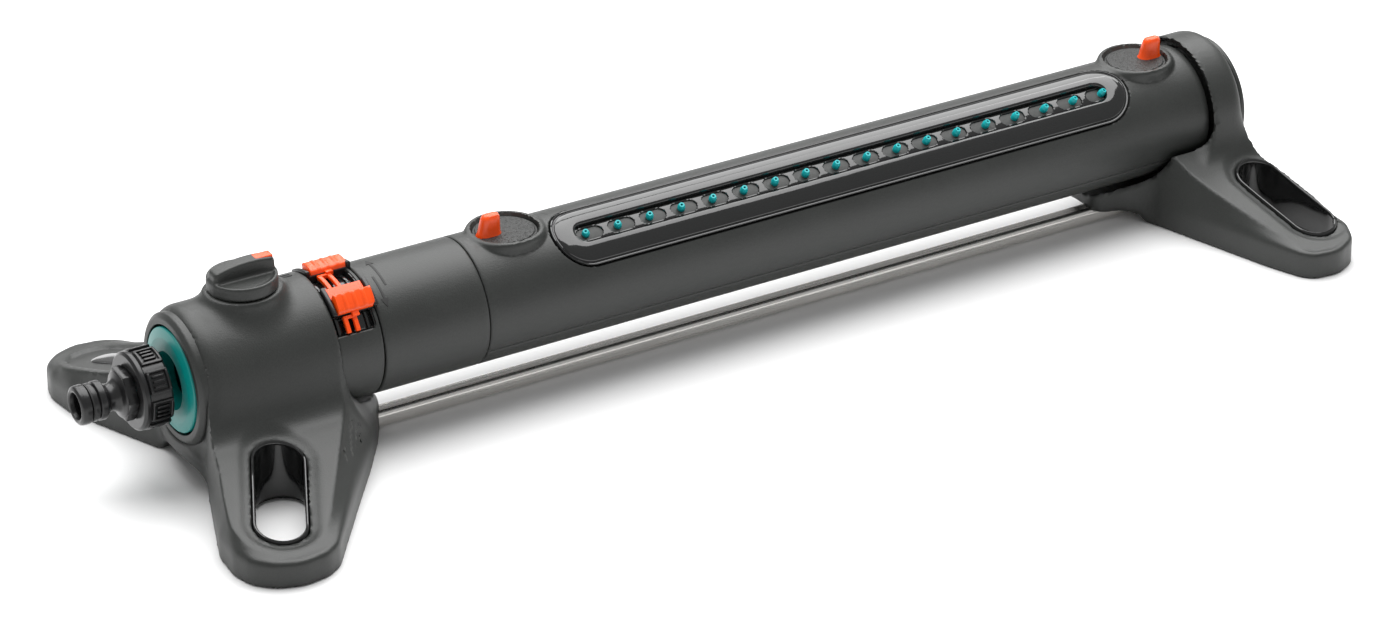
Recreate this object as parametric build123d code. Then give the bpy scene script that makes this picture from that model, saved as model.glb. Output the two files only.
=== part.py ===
from build123d import *
import math
import os

os.makedirs("parts", exist_ok=True)

# ---------------------------------------------------------------- driving sizes (mm)
# The tube axis is the line y = 0, z = 0 while modelling; place() moves it up onto its feet.
axis_height = 42.8       # tube axis above the ground
tube_r = 27.0            # outside of tube, sleeve and collar
shell_wall = 2.3         # shell thickness of the tube
tube_len = 359.2         # swinging tube between sleeve and end stand
sleeve_len = 47.7        # drive sleeve
collar_len = 19.6        # fixed ring with the two sliders
housing_len = 59.0       # barrel of the inlet stand
hub_len = 16.4           # ring of the end stand
cap_len = 2.4            # flat end cap, proud of the ring
rest_tilt = 30.0         # the nozzles lean this far to the front at rest

nozzle_count = 18
tip_pitch = 15.25        # distance between nozzle mouths, fanned out
fan_max = 15.0           # tilt of the outermost nozzle, degrees
first_tip = 52.0         # first mouth from the left end of the tube

leg_reach_in = 86.0      # foot centre of the inlet stand from the axis
leg_reach_end = 86.0     # foot centre of the end stand from the axis
foot_r = 20.0            # rounding of a foot
bar_w = 8.4              # aluminium bar, front to back
bar_h = 7.0              # aluminium bar, height
bar_y = -6.6             # bar centre from the tube axis
nipple_r = 8.1           # quick coupling nipple, tip radius
knob_r = 14.4            # flow knob

run = 0.06               # running clearance of a shaft
slip = 0.25              # clearance of a sliding or turning part
seam = 0.3               # visible seam between shells
air = 0.8                # free gap between unrelated faces

# ---------------------------------------------------------------- derived positions along X
housing_x0 = -52.0
housing_x1 = housing_x0 + housing_len
collar_x1 = housing_x1 + collar_len
sleeve_x0 = collar_x1 + 0.6
sleeve_x1 = sleeve_x0 + sleeve_len
tube_x0 = sleeve_x1 + seam
tube_x1 = tube_x0 + tube_len
hub_x0 = tube_x1 + 1.1
hub_x1 = hub_x0 + hub_len
cap_x1 = hub_x1 + cap_len
nipple_len = 23.0
nut_len = 13.0
ring_face = housing_x0 - 3.8
nut_x1 = ring_face - 4.7
nut_x0 = nut_x1 - nut_len
nipple_tip = nut_x0 - nipple_len

barrel_r = tube_r + 2.2
hub_r = tube_r + 3.5
shell_r = tube_r - shell_wall
ground = -axis_height
skirt_h = 11.0
stand_wall = 3.0
slot_wide = 19.0         # hand hole through a foot
slot_lip = 1.5           # wall of its liner
badge_depth = 1.2        # oval dish in the solid rear foot
end_foot_x = hub_x0 + 11.0
x_middle = (nipple_tip + max(cap_x1, end_foot_x + foot_r)) / 2


# ---------------------------------------------------------------- helpers
def place(shape):
    return Location((-x_middle, 0, axis_height)) * shape


def tilt(shape):
    return Rot(rest_tilt, 0, 0) * shape


def save(name, shape):
    export_step(place(shape), f"parts/{name}.step")


def save_tilted(name, shape):
    save(name, tilt(shape))


def rod(radius, x0, x1, y=0.0, z=0.0):
    return Pos((x0 + x1) / 2, y, z) * Rot(0, 90, 0) * Cylinder(radius, x1 - x0)


def ring(outer, inner, x0, x1):
    return rod(outer, x0, x1) - rod(inner, x0 - 1, x1 + 1)


def post(radius, z0, z1, x=0.0, y=0.0):
    return Pos(x, y, (z0 + z1) / 2) * Cylinder(radius, z1 - z0)


def block(x0, x1, y0, y1, z0, z1):
    return Pos((x0 + x1) / 2, (y0 + y1) / 2, (z0 + z1) / 2) * Box(x1 - x0, y1 - y0, z1 - z0)


def yz_prism(points, x0, x1):
    return extrude(Plane.YZ.offset(x0) * Polygon(*points, align=None), amount=x1 - x0, dir=(1, 0, 0))


def xz_plate(points, thick):
    """Plate with a side view outline, centred on the middle plane."""
    outline = Plane.XZ.offset(-thick / 2) * Polygon(*points, align=None)
    return extrude(outline, amount=thick, dir=(0, -1, 0))


def wedge(phi0, phi1, x0, x1, reach=80.0):
    """Slice of pie about the tube axis; angles in degrees from up towards the front."""
    steps = max(1, math.ceil(abs(phi1 - phi0) / 30))
    points = [(0, 0)]
    for k in range(steps + 1):
        a = math.radians(phi0 + (phi1 - phi0) * k / steps)
        points.append((-reach * math.sin(a), reach * math.cos(a)))
    return yz_prism(points, x0, x1)


def arc_bar(outer, inner, x0, x1, phi0, phi1):
    return ring(outer, inner, x0, x1) & wedge(phi0, phi1, x0 - 1, x1 + 1)


def stadium(x0, x1, half, z0, z1):
    """Upright slot shape along X."""
    flat = block(x0 + half, x1 - half, -half, half, z0, z1)
    return flat + post(half, z0, z1, x0 + half) + post(half, z0, z1, x1 - half)


def both_sides(shape):
    return shape + mirror(shape, Plane.XZ)


def toothed(teeth, module, x0, x1, turn=0.0):
    """Straight gear about the tube axis with slim teeth, so meshing wheels have backlash."""
    pitch_r = teeth * module / 2
    root_r = pitch_r - 1.2 * module
    tip_r = pitch_r + 0.85 * module
    step = 360 / teeth
    points = []
    for k in range(teeth):
        for share, radius in ((-0.20, root_r), (-0.09, tip_r), (0.09, tip_r), (0.20, root_r)):
            a = math.radians(turn + (k + share) * step)
            points.append((radius * math.cos(a), radius * math.sin(a)))
    return yz_prism(points, x0, x1)


# ---------------------------------------------------------------- stands
def upright(points, z0, z1):
    return extrude(Plane.XY.offset(z0) * Polygon(*points, align=None), amount=z1 - z0, dir=(0, 0, 1))


def foot_slot(x, y, dx, dy, length, wide, z0, z1):
    """Stadium hole through a foot, centred on x, y and running along dx, dy."""
    angle = math.degrees(math.atan2(dy, dx))
    shape = stadium(-length / 2, length / 2, wide / 2, z0, z1)
    return Pos(x, y, 0) * Rot(0, 0, angle) * shape


def crest_line(fy):
    """Side view of a leg's top face, from the barrel down to the foot."""
    return [(0, ground), (0, barrel_r - 1), (-12, barrel_r - 5), (-20, 12), (-29, -6), (-38, -15),
            (-60, -21.5), (fy - 4, -29), (fy - foot_r + 5, -31.5), (fy - foot_r + 2.5, -34),
            (fy - foot_r + 2.5, ground)]


def leg(plan, low_plan, foot_x, fy):
    """Front leg: the high apron and the lower side band, each cut from plan and side view."""
    low_crest = [(0, ground), (0, saddle_top), (-22, saddle_top), (-38, -26), (fy, -31),
                 (fy - foot_r - 2, ground + skirt_h), (fy - foot_r - 2, ground)]
    apron = upright(plan, ground, barrel_r) + post(foot_r - 4.5, ground, barrel_r, foot_x, fy + 1)
    apron = apron & yz_prism(crest_line(fy), -700, 700)
    band = upright(low_plan, ground, barrel_r) + post(foot_r, ground, barrel_r, foot_x, fy)
    return apron + (band & yz_prism(low_crest, -700, 700))


def bar_hole(x0, x1, grow):
    bar = block(x0, x1, bar_y - bar_w / 2 - grow, bar_y + bar_w / 2 + grow,
                bar_z - bar_h / 2 - grow, bar_z + bar_h / 2 + grow)
    return fillet(bar.edges().filter_by(Axis.X), 2.2 + grow)


bar_z = ground + 1.2 + bar_h / 2
bar_x0 = housing_x1 - 15.0
bar_x1 = hub_x0 - 9.6

in_foot_x = housing_x0 + 0.5
in_slot = (in_foot_x + 10.5, -(leg_reach_in - 20.5), -0.436, -0.90)
end_slot = (end_foot_x + 2.6, -(leg_reach_end - 21.5), 0.134, -0.991)
slot_len_in = 57.0
slot_len_end = 54.0
saddle_x1 = housing_x1 + 30.0
wing_x0 = hub_x0 - 51.6
saddle_top = -(tube_r + 1.4)


def inlet_stand():
    fy = -leg_reach_in
    fx = in_foot_x
    plan = [(housing_x0 + 2, 0), (housing_x0, -18), (housing_x0 - 2, -32), (fx - 6, -46), (fx - 11, -60),
            (fx - 15.3, fy + 5), (fx - 15.4, fy), (fx, fy), (fx + 15, fy - 5), (fx + 23, fy + 3),
            (housing_x1 - 20, -61),
            (housing_x1 - 9, -44), (housing_x1 - 2, -30), (housing_x1, -14), (housing_x1, 0)]
    low_plan = [(housing_x0 + 4, 0), (housing_x0 + 1, -20), (fx - 9.3, -45), (fx - 18.5, fy + 16.5),
                (fx - 19.9, fy), (fx, fy), (fx + 18.5, fy - 7.5), (fx + 28, fy - 0.5),
                (saddle_x1 - 24, -38), (saddle_x1 - 12, -20), (saddle_x1, -3), (saddle_x1, 0)]
    half = leg(plan, low_plan, fx, fy)
    half -= rod(tube_r + 1.4, housing_x1, saddle_x1 + 5)
    barrel = rod(barrel_r, housing_x0, housing_x1)
    barrel = fillet(barrel.faces().sort_by(Axis.X)[0].edges(), 4.5)
    pedestal = Pos(knob_x, 0, 24) * Cone(knob_r + 5.5, knob_r + 0.4, 16)
    body = barrel + both_sides(half) + pedestal
    hollow = hollow_half(fx, fy, in_slot, slot_len_in, housing_x0 + 6, housing_x1 - 9)
    body -= both_sides(hollow)
    body -= rod(35, housing_x0 - 9, housing_x0 + 22, 0, ground - 25)
    body -= foot_slot(*in_slot, slot_len_in, slot_wide + 2 * slot_lip, ground - 1, 60)
    body -= mirror(badge_recess(fy), Plane.XZ)
    body -= rod(ring_bore, housing_x0 - 10, housing_x0 + 7)
    body -= rod(chamber_r, housing_x0, collar_seat)
    body -= rod(spigot_r, collar_seat, housing_x1 + 1)
    body -= post(stem_r + run, 10, 60, knob_x)
    body -= post(knob_r - 4, barrel_r - 1.5, 60, knob_x)
    body -= bar_hole(bar_x0, saddle_x1 + 5, 0.0)
    return screw_seats(body, in_screws)


def badge_recess(fy):
    """Shallow oval dish in the rear foot, level with the slope of its top face."""
    oval = foot_slot(*in_slot, slot_len_in + 5, slot_wide + 8, ground + 5, 10)
    floor = [(y, z - badge_depth) for y, z in crest_line(fy)[3:9]]
    return oval - yz_prism([(60, ground), (60, 25), *floor, (fy - 60, -40), (fy - 60, ground)], -900, 900)


def hollow_half(fx, fy, slot, slot_len, x0, x1):
    """Cavity in the underside of one leg, leaving a wall round the hole through the foot."""
    inset = stand_wall + 1.5
    plan = [(x0 + 2, -36), (fx - 7, -52), (fx - foot_r + inset + 1, fy), (fx + foot_r - inset, fy),
            (x1 - 10, -44), (x1 - 4, -36)]
    tall = [(-34, ground - 1), (-34, ground + 22), (-42, ground + 22), (-60, ground + 17),
            (fy - 2, ground + 10),
            (fy - foot_r + inset, ground + 7), (fy - foot_r + inset, ground - 1)]
    room = upright(plan, ground - 1, 20) + post(foot_r - inset, ground - 1, 20, fx, fy)
    room = room & yz_prism(tall, -900, 900)
    return room - foot_slot(*slot, slot_len + 5.0, slot_wide + 2 * slot_lip + 5.0, ground - 2, 60)


def screw_seats(body, places):
    """Bosses in the underside, each with a counterbored hole for a screw."""
    for x, y in places:
        seat = post(screw_r + 2.8, ground + 0.6, ground + 10, x, y)
        hole = post(screw_r, ground - 1, ground + 9, x, y) + post(screw_r + 1.5, ground - 1, ground + 3, x, y)
        body += both_sides(seat)
        body -= both_sides(hole)
    return body


def end_stand():
    fy = -leg_reach_end
    fx = end_foot_x
    plan = [(hub_x0, 0), (hub_x0, -20), (hub_x0 - 8.6, -32), (hub_x0 - 12.6, -45),
            (hub_x0 - 10.6, -62), (fx - 15.4, fy),
            (fx, fy), (fx + 15.4, fy), (fx + 17, -66), (fx + 14, -46), (hub_x1, -30), (hub_x1, 0)]
    low_plan = [(wing_x0, 0), (wing_x0, -12.4), (hub_x0 - 34.6, -15), (hub_x0 - 27.6, -22),
                (hub_x0 - 22.6, -36), (hub_x0 - 16.6, -58), (fx - 19.4, fy + 5),
                (fx - 16.5, fy - 11.5), (fx, fy),
                (fx + foot_r, fy), (fx + foot_r - 0.5, -66), (fx + 17, -46), (hub_x1 + 4, -28),
                (hub_x1 + 2, 0)]
    half = leg(plan, low_plan, fx, fy)
    half -= rod(tube_r + 1.4, wing_x0 - 5, hub_x0)
    hub = rod(hub_r, hub_x0, hub_x1)
    hub = fillet(hub.faces().sort_by(Axis.X)[-1].edges(), 3.0)
    body = hub + both_sides(half)
    body = body + block(hub_x0, hub_x1, -24, 24, ground + 1.5, -14)
    hollow = hollow_half(fx, fy, end_slot, slot_len_end, hub_x0 - 12.6, hub_x1 + 16)
    body -= both_sides(hollow)
    body -= both_sides(foot_slot(*end_slot, slot_len_end, slot_wide + 2 * slot_lip, ground - 1, 60))
    body -= rod(hub_r - 5, hub_x0 + 5, hub_x1 + 1)
    body -= rod(hub_r - 3.0, hub_x1, cap_x1 + 9)
    body += rod(axle_r, tube_x1 - 9, hub_x0 + 6)
    body -= rod(axle_r - 4, tube_x1 - 10, hub_x0 + 2)
    body -= bar_hole(wing_x0 - 5, bar_x1, 0.0)
    return screw_seats(body, end_screws)


def slot_liner(slot, length, top):
    """Glossy sleeve through a foot."""
    outer = foot_slot(*slot, length, slot_wide + 2 * slot_lip, ground + 2.2, top)
    return outer - foot_slot(*slot, length - 2 * slot_lip, slot_wide, ground, top + 5)


def front_liner(slot, length, fy):
    """Liner cut off just below the top face of the leg."""
    line = [(y, z + 0.4) for y, z in crest_line(fy)[2:8]]
    liner = slot_liner(slot, length, 30)
    return liner & yz_prism([(0, ground), (0, 30), *line, (fy - 40, -31), (fy - 40, ground)], -900, 900)


# ---------------------------------------------------------------- inlet: filter, nipple, valve
knob_x = housing_x0 + 30.5
ring_r = 21.9
ring_bore = ring_r + slip + 0.25
chamber_r = 18.0
collar_seat = housing_x1 - 9.0
spigot_r = 24.4
stem_r = 4.0
plug_r = 8.5
male_r = 13.2
axle_r = 10.0
screw_r = 2.0
in_screws = [(in_foot_x + 4, -(leg_reach_in + 13.6)), (saddle_x1 - 24, -22)]
end_screws = [(end_foot_x - 4, -(leg_reach_end + 13.6)), (hub_x0 - 19.6, -20)]
tail_x1 = housing_x0 + 17.0


def filter_ring():
    """Coloured screw ring: threaded spigot outside, screen carrier inside."""
    body = rod(ring_r, ring_face, housing_x0 + 6.6)
    body = fillet(body.faces().sort_by(Axis.X)[0].edges(), 1.0)
    body += rod(male_r, nut_x0 + 5.2, ring_face + 1)
    body += rod(chamber_r - slip, housing_x0 + 6, housing_x0 + 10)
    body += rod(10.4, housing_x0 + 9, tail_x1)
    body -= rod(8.0, nut_x0, tail_x1 + 1)
    groove = ring(chamber_r + 2, chamber_r - 2.2, housing_x0 + 7.2, housing_x0 + 9.2)
    return body - groove


def filter_seal():
    return ring(chamber_r - 0.02, chamber_r - 2.2, housing_x0 + 7.3, housing_x0 + 9.1)


def filter_screen():
    """Thimble sieve pushed into the carrier."""
    body = rod(7.95, housing_x0 + 4, tail_x1 - 0.5) - rod(6.9, housing_x0 + 3, tail_x1 - 1.8)
    for k in range(8):
        body -= Rot(45 * k, 0, 0) * block(housing_x0 + 6, tail_x1 - 4, 5, 10, -1.2, 1.2)
    return body


def hose_nipple():
    x0 = nipple_tip
    profile = [(0, 0), (0, nipple_r - 1.2), (1.2, nipple_r), (4.4, nipple_r), (4.9, nipple_r - 2.0),
               (7.4, nipple_r - 2.0), (7.9, nipple_r - 0.2), (11.0, nipple_r - 0.2), (13.0, nipple_r - 2.6),
               (16.6, nipple_r - 2.6), (18.2, nipple_r + 1.0), (nipple_len + 2.9, nipple_r + 1.0),
               (nipple_len + 2.9, male_r - 0.4), (nipple_len + 4.5, male_r - 0.4), (nipple_len + 4.5, 0)]
    face = Plane.XY * Polygon(*[(x0 + a, r) for a, r in profile], align=None)
    body = revolve(face, Axis.X)
    collar = extrude(Plane.YZ.offset(x0 + 19.0) * RegularPolygon(nipple_r + 1.9, 6), amount=2.8)
    return body + collar - rod(5.2, x0 - 1, x0 + nipple_len + 6)


def nipple_seal():
    x0 = nipple_tip
    return ring(nipple_r - 0.35, nipple_r - 2.0, x0 + 5.0, x0 + 7.3)


def inlet_washer():
    return ring(male_r - 0.6, 6.0, nut_x0 + 4.6, nut_x0 + 5.15)


def union_nut():
    body = rod(16.2, nut_x0, nut_x1)
    body = chamfer(body.faces().sort_by(Axis.X)[0].edges(), 1.2)
    for k in range(24):
        if k % 4 != 3:
            body += Rot(15 * k, 0, 0) * block(nut_x0 + 3.4, nut_x1 - 1, 15.6, 16.7, -0.8, 0.8)
    body -= rod(nipple_r + 1.0 + slip, nut_x0 - 1, nut_x0 + 3)
    return body - rod(male_r + 0.03, nut_x0 + 2.8, nut_x1 + 1)


def flow_knob():
    z0 = barrel_r + 3.2
    base = post(knob_r, z0, z0 + 4.2, knob_x)
    base = chamfer(base.faces().sort_by(Axis.Z)[-1].edges(), 1.0)
    top = [(-knob_r + 1.4, z0 + 3), (-knob_r + 1.4, z0 + 10.4), (-7, z0 + 11.6), (4, z0 + 12.0),
           (knob_r - 1.4, z0 + 10.8), (knob_r - 1.2, z0 + 3)]
    fin = xz_plate([(knob_x + a, b) for a, b in top], 7.2)
    fin = fillet(fin.edges().filter_by(Axis.Z), 2.4)
    body = base + fin - post(knob_r - 3, z0 - 1, z0 + 1.6, knob_x)
    body -= block(knob_x + 5.6, knob_x + knob_r + 1, -2.2, 2.2, z0 + 10.0, z0 + 20)
    return body - post(stem_r - 0.8, z0 - 1, z0 + 6.0, knob_x)


def knob_marker():
    z0 = barrel_r + 3.2
    return block(knob_x + 5.8, knob_x + knob_r - 1.4, -2.0, 2.0, z0 + 10.0, z0 + 11.8)


def valve_spindle():
    stem = post(stem_r, 9.4, barrel_r + 3.0, knob_x)
    return stem + post(stem_r - 0.8, barrel_r + 2, barrel_r + 9.0, knob_x)


def spindle_seal():
    return post(knob_r - 4.6, barrel_r - 1.5, barrel_r + 0.6, knob_x) - post(stem_r + 0.1, 0, 60, knob_x)


def valve_body():
    body = rod(chamber_r - 0.01, knob_x - 11, knob_x + 11)
    body -= rod(5.4, knob_x - 12, knob_x + 12)
    body -= post(plug_r + run, -11.5, 11.5, knob_x)
    return body - post(stem_r + run, 9, 30, knob_x)


def valve_plug():
    plug = post(plug_r, -11.2, 9.3, knob_x)
    return plug - rod(5.0, knob_x - 20, knob_x + 20)


# ---------------------------------------------------------------- collar, sliders, motor
groove_in = 22.6
groove_out = 25.0
window_x0 = housing_x1 + 3.6
window_x1 = window_x0 + 12.4
nose_r = shell_r - 0.65
motor_r = 20.4


def collar_ring():
    """Fixed ring: window for the sliders outside, bearing nose for the sleeve inside."""
    body = rod(tube_r, housing_x1, collar_x1) + rod(spigot_r, collar_seat, housing_x1 + 1)
    body += rod(nose_r, collar_x1 - 1, collar_x1 + 9)
    body -= rod(motor_r, collar_seat - 1, collar_x1 + 10)
    body -= ring(groove_out, groove_in, window_x0 + 0.8, window_x1 - 0.8)
    return body - arc_bar(tube_r + 5, groove_in, window_x0, window_x1, -72, 60)


def slider(phi):
    """Black carriage that rides in the window; phi is the middle of the slider."""
    body = arc_bar(tube_r + 2.6, groove_in + slip, window_x0 + 0.4, window_x1 - 0.4, phi - 9, phi + 9)
    foot = arc_bar(groove_out - slip, groove_in + slip, window_x0 + 1.1, window_x1 - 1.1, phi - 11, phi + 8)
    return body + foot


def slider_clip(phi, arc0, arc1):
    """Orange grip: ribbed plate, short stem and two thin bands along the window."""
    mid = (window_x0 + window_x1) / 2
    plate = arc_bar(tube_r + 5.2, tube_r + 2.6, window_x0 - 2, window_x1 + 2.4, phi - 8.5, phi + 5)
    for k in range(4):
        x = window_x0 - 0.5 + k * 4.1
        plate += arc_bar(tube_r + 6.0, tube_r + 5, x, x + 1.9, phi - 8, phi + 4)
    stem = arc_bar(tube_r + 3.8, tube_r + 2.6, mid - 2.2, mid + 2.2, phi + 4, phi + 10)
    bands = arc_bar(groove_out - slip, groove_in + slip, mid - 3.0, mid - 1.4, arc0, arc1)
    bands += arc_bar(groove_out - slip, groove_in + slip, mid + 1.4, mid + 3.0, arc0, arc1)
    link = arc_bar(tube_r + 3.0, groove_in + slip, mid - 3.0, mid + 3.0, phi + 9.1, phi + 11)
    return plate + stem + link + bands


front_phi = 38.0
rear_phi = -13.0


def motor_housing():
    x0 = collar_seat + 1
    x1 = sleeve_x0 + 31
    body = ring(motor_r, motor_r - 2, x0, x1)
    for wall, thick in ((x0, 2.0), (x0 + 11, 1.6), (x0 + 27, 1.6), (x1 - 2.0, 2.0)):
        body += rod(motor_r - 1, wall, wall + thick)
    body -= rod(1.5 + run, x0 - 1, x0 + 13)
    body -= rod(2.0 + run, x0 + 26, x1 + 1)
    body += rod(1.5, x0 + 11, x0 + 28, 0, -wheel_gap)
    for k in range(6):
        body -= Rot(60 * k, 0, 0) * rod(2.2, x0 - 1, x0 + 13, 11, 0)
        body -= Rot(60 * k + 30, 0, 0) * rod(2.2, x0 + 26, x1 + 1, 15, 0)
    return body


gear_module = 0.45
small_teeth = 12
large_teeth = 30
wheel_gap = (small_teeth + large_teeth) * gear_module / 2


def turbine_wheel():
    x0 = collar_seat + 1
    body = rod(1.5, x0 + 0.3, x0 + 18)
    body += rod(3.6, x0 + 3, x0 + 10)
    for k in range(9):
        blade = Rot(0, 25, 0) * Box(6.0, 11.0, 1.0)
        body += Rot(40 * k, 0, 0) * Pos(x0 + 6.5, 8.6, 0) * blade
    body &= rod(14.5, x0, x0 + 40)
    pinion = toothed(small_teeth, gear_module, x0 + 13.4, x0 + 18, 270)
    return body + pinion


def reduction_gear():
    x0 = collar_seat + 1
    half = 180 / large_teeth
    body = toothed(large_teeth, gear_module, x0 + 13.6, x0 + 17, 90 + half)
    body += toothed(small_teeth, gear_module, x0 + 16.5, x0 + 23, 90)
    return Pos(0, 0, -wheel_gap) * (body - rod(1.5 + run, x0 + 10, x0 + 30))


def output_gear():
    x0 = collar_seat + 1
    half = 180 / large_teeth
    body = toothed(large_teeth, gear_module, x0 + 19, x0 + 22.5, 270 + half)
    body += rod(2.0, x0 + 22, sleeve_x0 + 34)
    body += rod(8.0, sleeve_x0 + 32, sleeve_x0 + 34)
    return body + rod(1.8, sleeve_x0 + 34, sleeve_x0 + 37, 5.4, 0)


# ---------------------------------------------------------------- swinging tube
tilt_dial = -rest_tilt
dial_r = 13.4
dial_left = tube_x0 + 21.8
dial_right = tube_x1 - 21.8
panel_x0 = tube_x0 + 37.0
panel_x1 = tube_x1 - 36.6
panel_half = 15.2
pivot_r = 14.0
tip_r = 27.2
nozzle_r = 1.65
strip_z = 19.6
fan_share = fan_max / ((nozzle_count - 1) / 2)
tip_arm = tip_r - pivot_r


def fan_angle(i):
    return (i - (nozzle_count - 1) / 2) * fan_share


def pivot_x(i):
    return tube_x0 + first_tip + i * tip_pitch - tip_arm * math.tan(math.radians(fan_angle(i)))


def drive_sleeve():
    body = ring(tube_r, nose_r + run, sleeve_x0, sleeve_x1 - 3)
    body += rod(tube_r, sleeve_x1 - 4, sleeve_x1)
    body += rod(shell_r - 0.02, sleeve_x1 - 1, sleeve_x1 + 5)
    body -= rod(shell_r - 3, sleeve_x1, sleeve_x1 + 6)
    return body - rod(7.5, sleeve_x1 - 5, sleeve_x1 + 1, 0, 5)


def dial_boss(x):
    boss = post(dial_r + 2.2, shell_r - 6, tube_r + 0.4, x)
    boss -= rod(shell_r, tube_x0, tube_x1)
    return Rot(tilt_dial, 0, 0) * boss


def dial_pocket(x):
    cut = post(dial_r + slip, shell_r - 1.6, tube_r + 9, x) + post(3.0 + run, 10, tube_r, x)
    return Rot(tilt_dial, 0, 0) * cut


def dial_floor(x):
    """Bearing plate below the dial."""
    plate = post(dial_r + 2.2, shell_r - 4.4, shell_r - 1.6, x) - post(3.0 + run, 0, 60, x)
    return Rot(tilt_dial, 0, 0) * (plate & rod(shell_r + 0.5, sleeve_x1 + 6, tube_x1 - 9))


def tube_upper_shell():
    body = ring(tube_r, shell_r, tube_x0, tube_x1)
    body += dial_boss(dial_left) + dial_boss(dial_right)
    body -= dial_pocket(dial_left) + dial_pocket(dial_right)
    body += dial_floor(dial_left) + dial_floor(dial_right)
    body &= block(tube_x0 - 1, tube_x1 + 1, -60, 60, seam / 2, 60)
    return body - stadium(panel_x0, panel_x1, panel_half, 10, 60)


def tube_lower_shell():
    body = ring(tube_r, shell_r, tube_x0, tube_x1)
    return body & block(tube_x0 - 1, tube_x1 + 1, -60, 60, -60, -seam / 2)


def nozzle_panel():
    fit = 0.1
    body = ring(tube_r + 0.5, shell_r - 1.4, panel_x0 + fit, panel_x1 - fit)
    body &= stadium(panel_x0 + fit, panel_x1 - fit, panel_half - fit, 5, 60)
    body -= stadium(panel_x0 + 9, panel_x1 - 7, 4.6, tube_r - 2.1, 60)
    for i in range(nozzle_count):
        x = pivot_x(i) + 0.55 * tip_arm * math.tan(math.radians(fan_angle(i)))
        body -= stadium(x - 4.6, x + 4.6, nozzle_r + 0.6, 5, 60)
    return body


def water_tube():
    """Duct below the nozzles with a seat for each of them."""
    x0 = sleeve_x1 + 0.2
    x1 = tube_x1 - 14
    body = rod(7.4, x0, x1, 0, 5) + block(tube_x0 + 40, x1 - 20, -4.2, 4.2, 6, 15.6)
    body -= rod(5.8, x0 - 1, x1 - 2, 0, 5)
    for i in range(nozzle_count):
        body -= post(2.7, 4, 16, pivot_x(i))
    return body


def nozzle(i):
    """Rubber jet on a round foot, leaning outwards about its foot."""
    body = Sphere(2.6) + post(nozzle_r, 1.5, tip_arm + 0.6)
    tip = post(nozzle_r, tip_arm - 1.0, tip_arm + 0.6)
    body = body - tip + Pos(0, 0, tip_arm - 0.2) * Cone(nozzle_r, nozzle_r - 0.55, 1.6)
    body -= post(0.55, tip_arm - 2.6, tip_arm + 3)
    return Pos(pivot_x(i), 0, pivot_r) * Rot(0, fan_angle(i), 0) * body


def zoom_slide(first, last):
    """Perforated strip that leads one half of the nozzles."""
    x0 = pivot_x(first) - 9
    x1 = pivot_x(last) + 5.5
    if first > 0:
        x0, x1 = pivot_x(first) - 5.5, pivot_x(last) + 9
    body = block(x0, x1, -6, 6, strip_z, strip_z + 1.4)
    for i in range(first, last + 1):
        x = pivot_x(i) + (strip_z + 0.7 - pivot_r) * math.tan(math.radians(fan_angle(i)))
        body -= stadium(x - 4.6, x + 4.6, nozzle_r + 0.7, strip_z - 1, strip_z + 3)
    return body


def zoom_dial(x):
    z0 = shell_r - 1.6 + 0.3
    body = post(dial_r, z0, tube_r - 0.3, x) + post(3.0, shell_r - 8.5, z0 + 1, x)
    return Rot(tilt_dial, 0, 0) * body


def zoom_lever(x, way):
    """Fin on the dial; way is -1 for the left dial and +1 for the right one."""
    z0 = tube_r - 0.3
    side = [(-11.0, 0), (-9.8, 5.0), (-8.6, 8.6), (-6.8, 9.4), (-4.6, 9.4), (-2.8, 8.0),
            (-1.4, 3.0), (-0.8, 0)]
    points = [(x + way * (dial_r + a), z0 + b) for a, b in side]
    fin = xz_plate(points, 5.2)
    return Rot(tilt_dial, 0, 0) * fin


def end_bearing():
    body = rod(shell_r - 0.02, tube_x1 - 8.2, tube_x1 - 1.2)
    return body - rod(axle_r + run, tube_x1 - 13, tube_x1 + 1)


def end_cap():
    body = rod(hub_r - 3.6, hub_x1, cap_x1)
    body = fillet(body.faces().sort_by(Axis.X)[-1].edges(), 1.4)
    body += rod(hub_r - 5.05, hub_x1 - 8, hub_x1 + 1)
    return body - rod(hub_r - 8, hub_x1 - 9, cap_x1 - 2.2)


def base_bar():
    bar = bar_hole(bar_x0, bar_x1, -0.02)
    inner = block(bar_x0 - 1, bar_x1 + 1, bar_y - bar_w / 2 + 1.5, bar_y + bar_w / 2 - 1.5,
                  bar_z - bar_h / 2 + 1.5, bar_z + bar_h / 2 - 1.5)
    return bar - inner


def base_screws(places):
    group = []
    for x, y in places:
        for side in (y, -y):
            shank = post(screw_r - 0.02, ground + 2.0, ground + 8.6, x, side)
            head = post(screw_r + 1.3, ground + 1.0, ground + 2.9, x, side)
            slot = block(x - 4, x + 4, side - 0.45, side + 0.45, ground + 0.9, ground + 1.8)
            group.append(shank + head - slot)
    return Compound(children=group)


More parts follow.
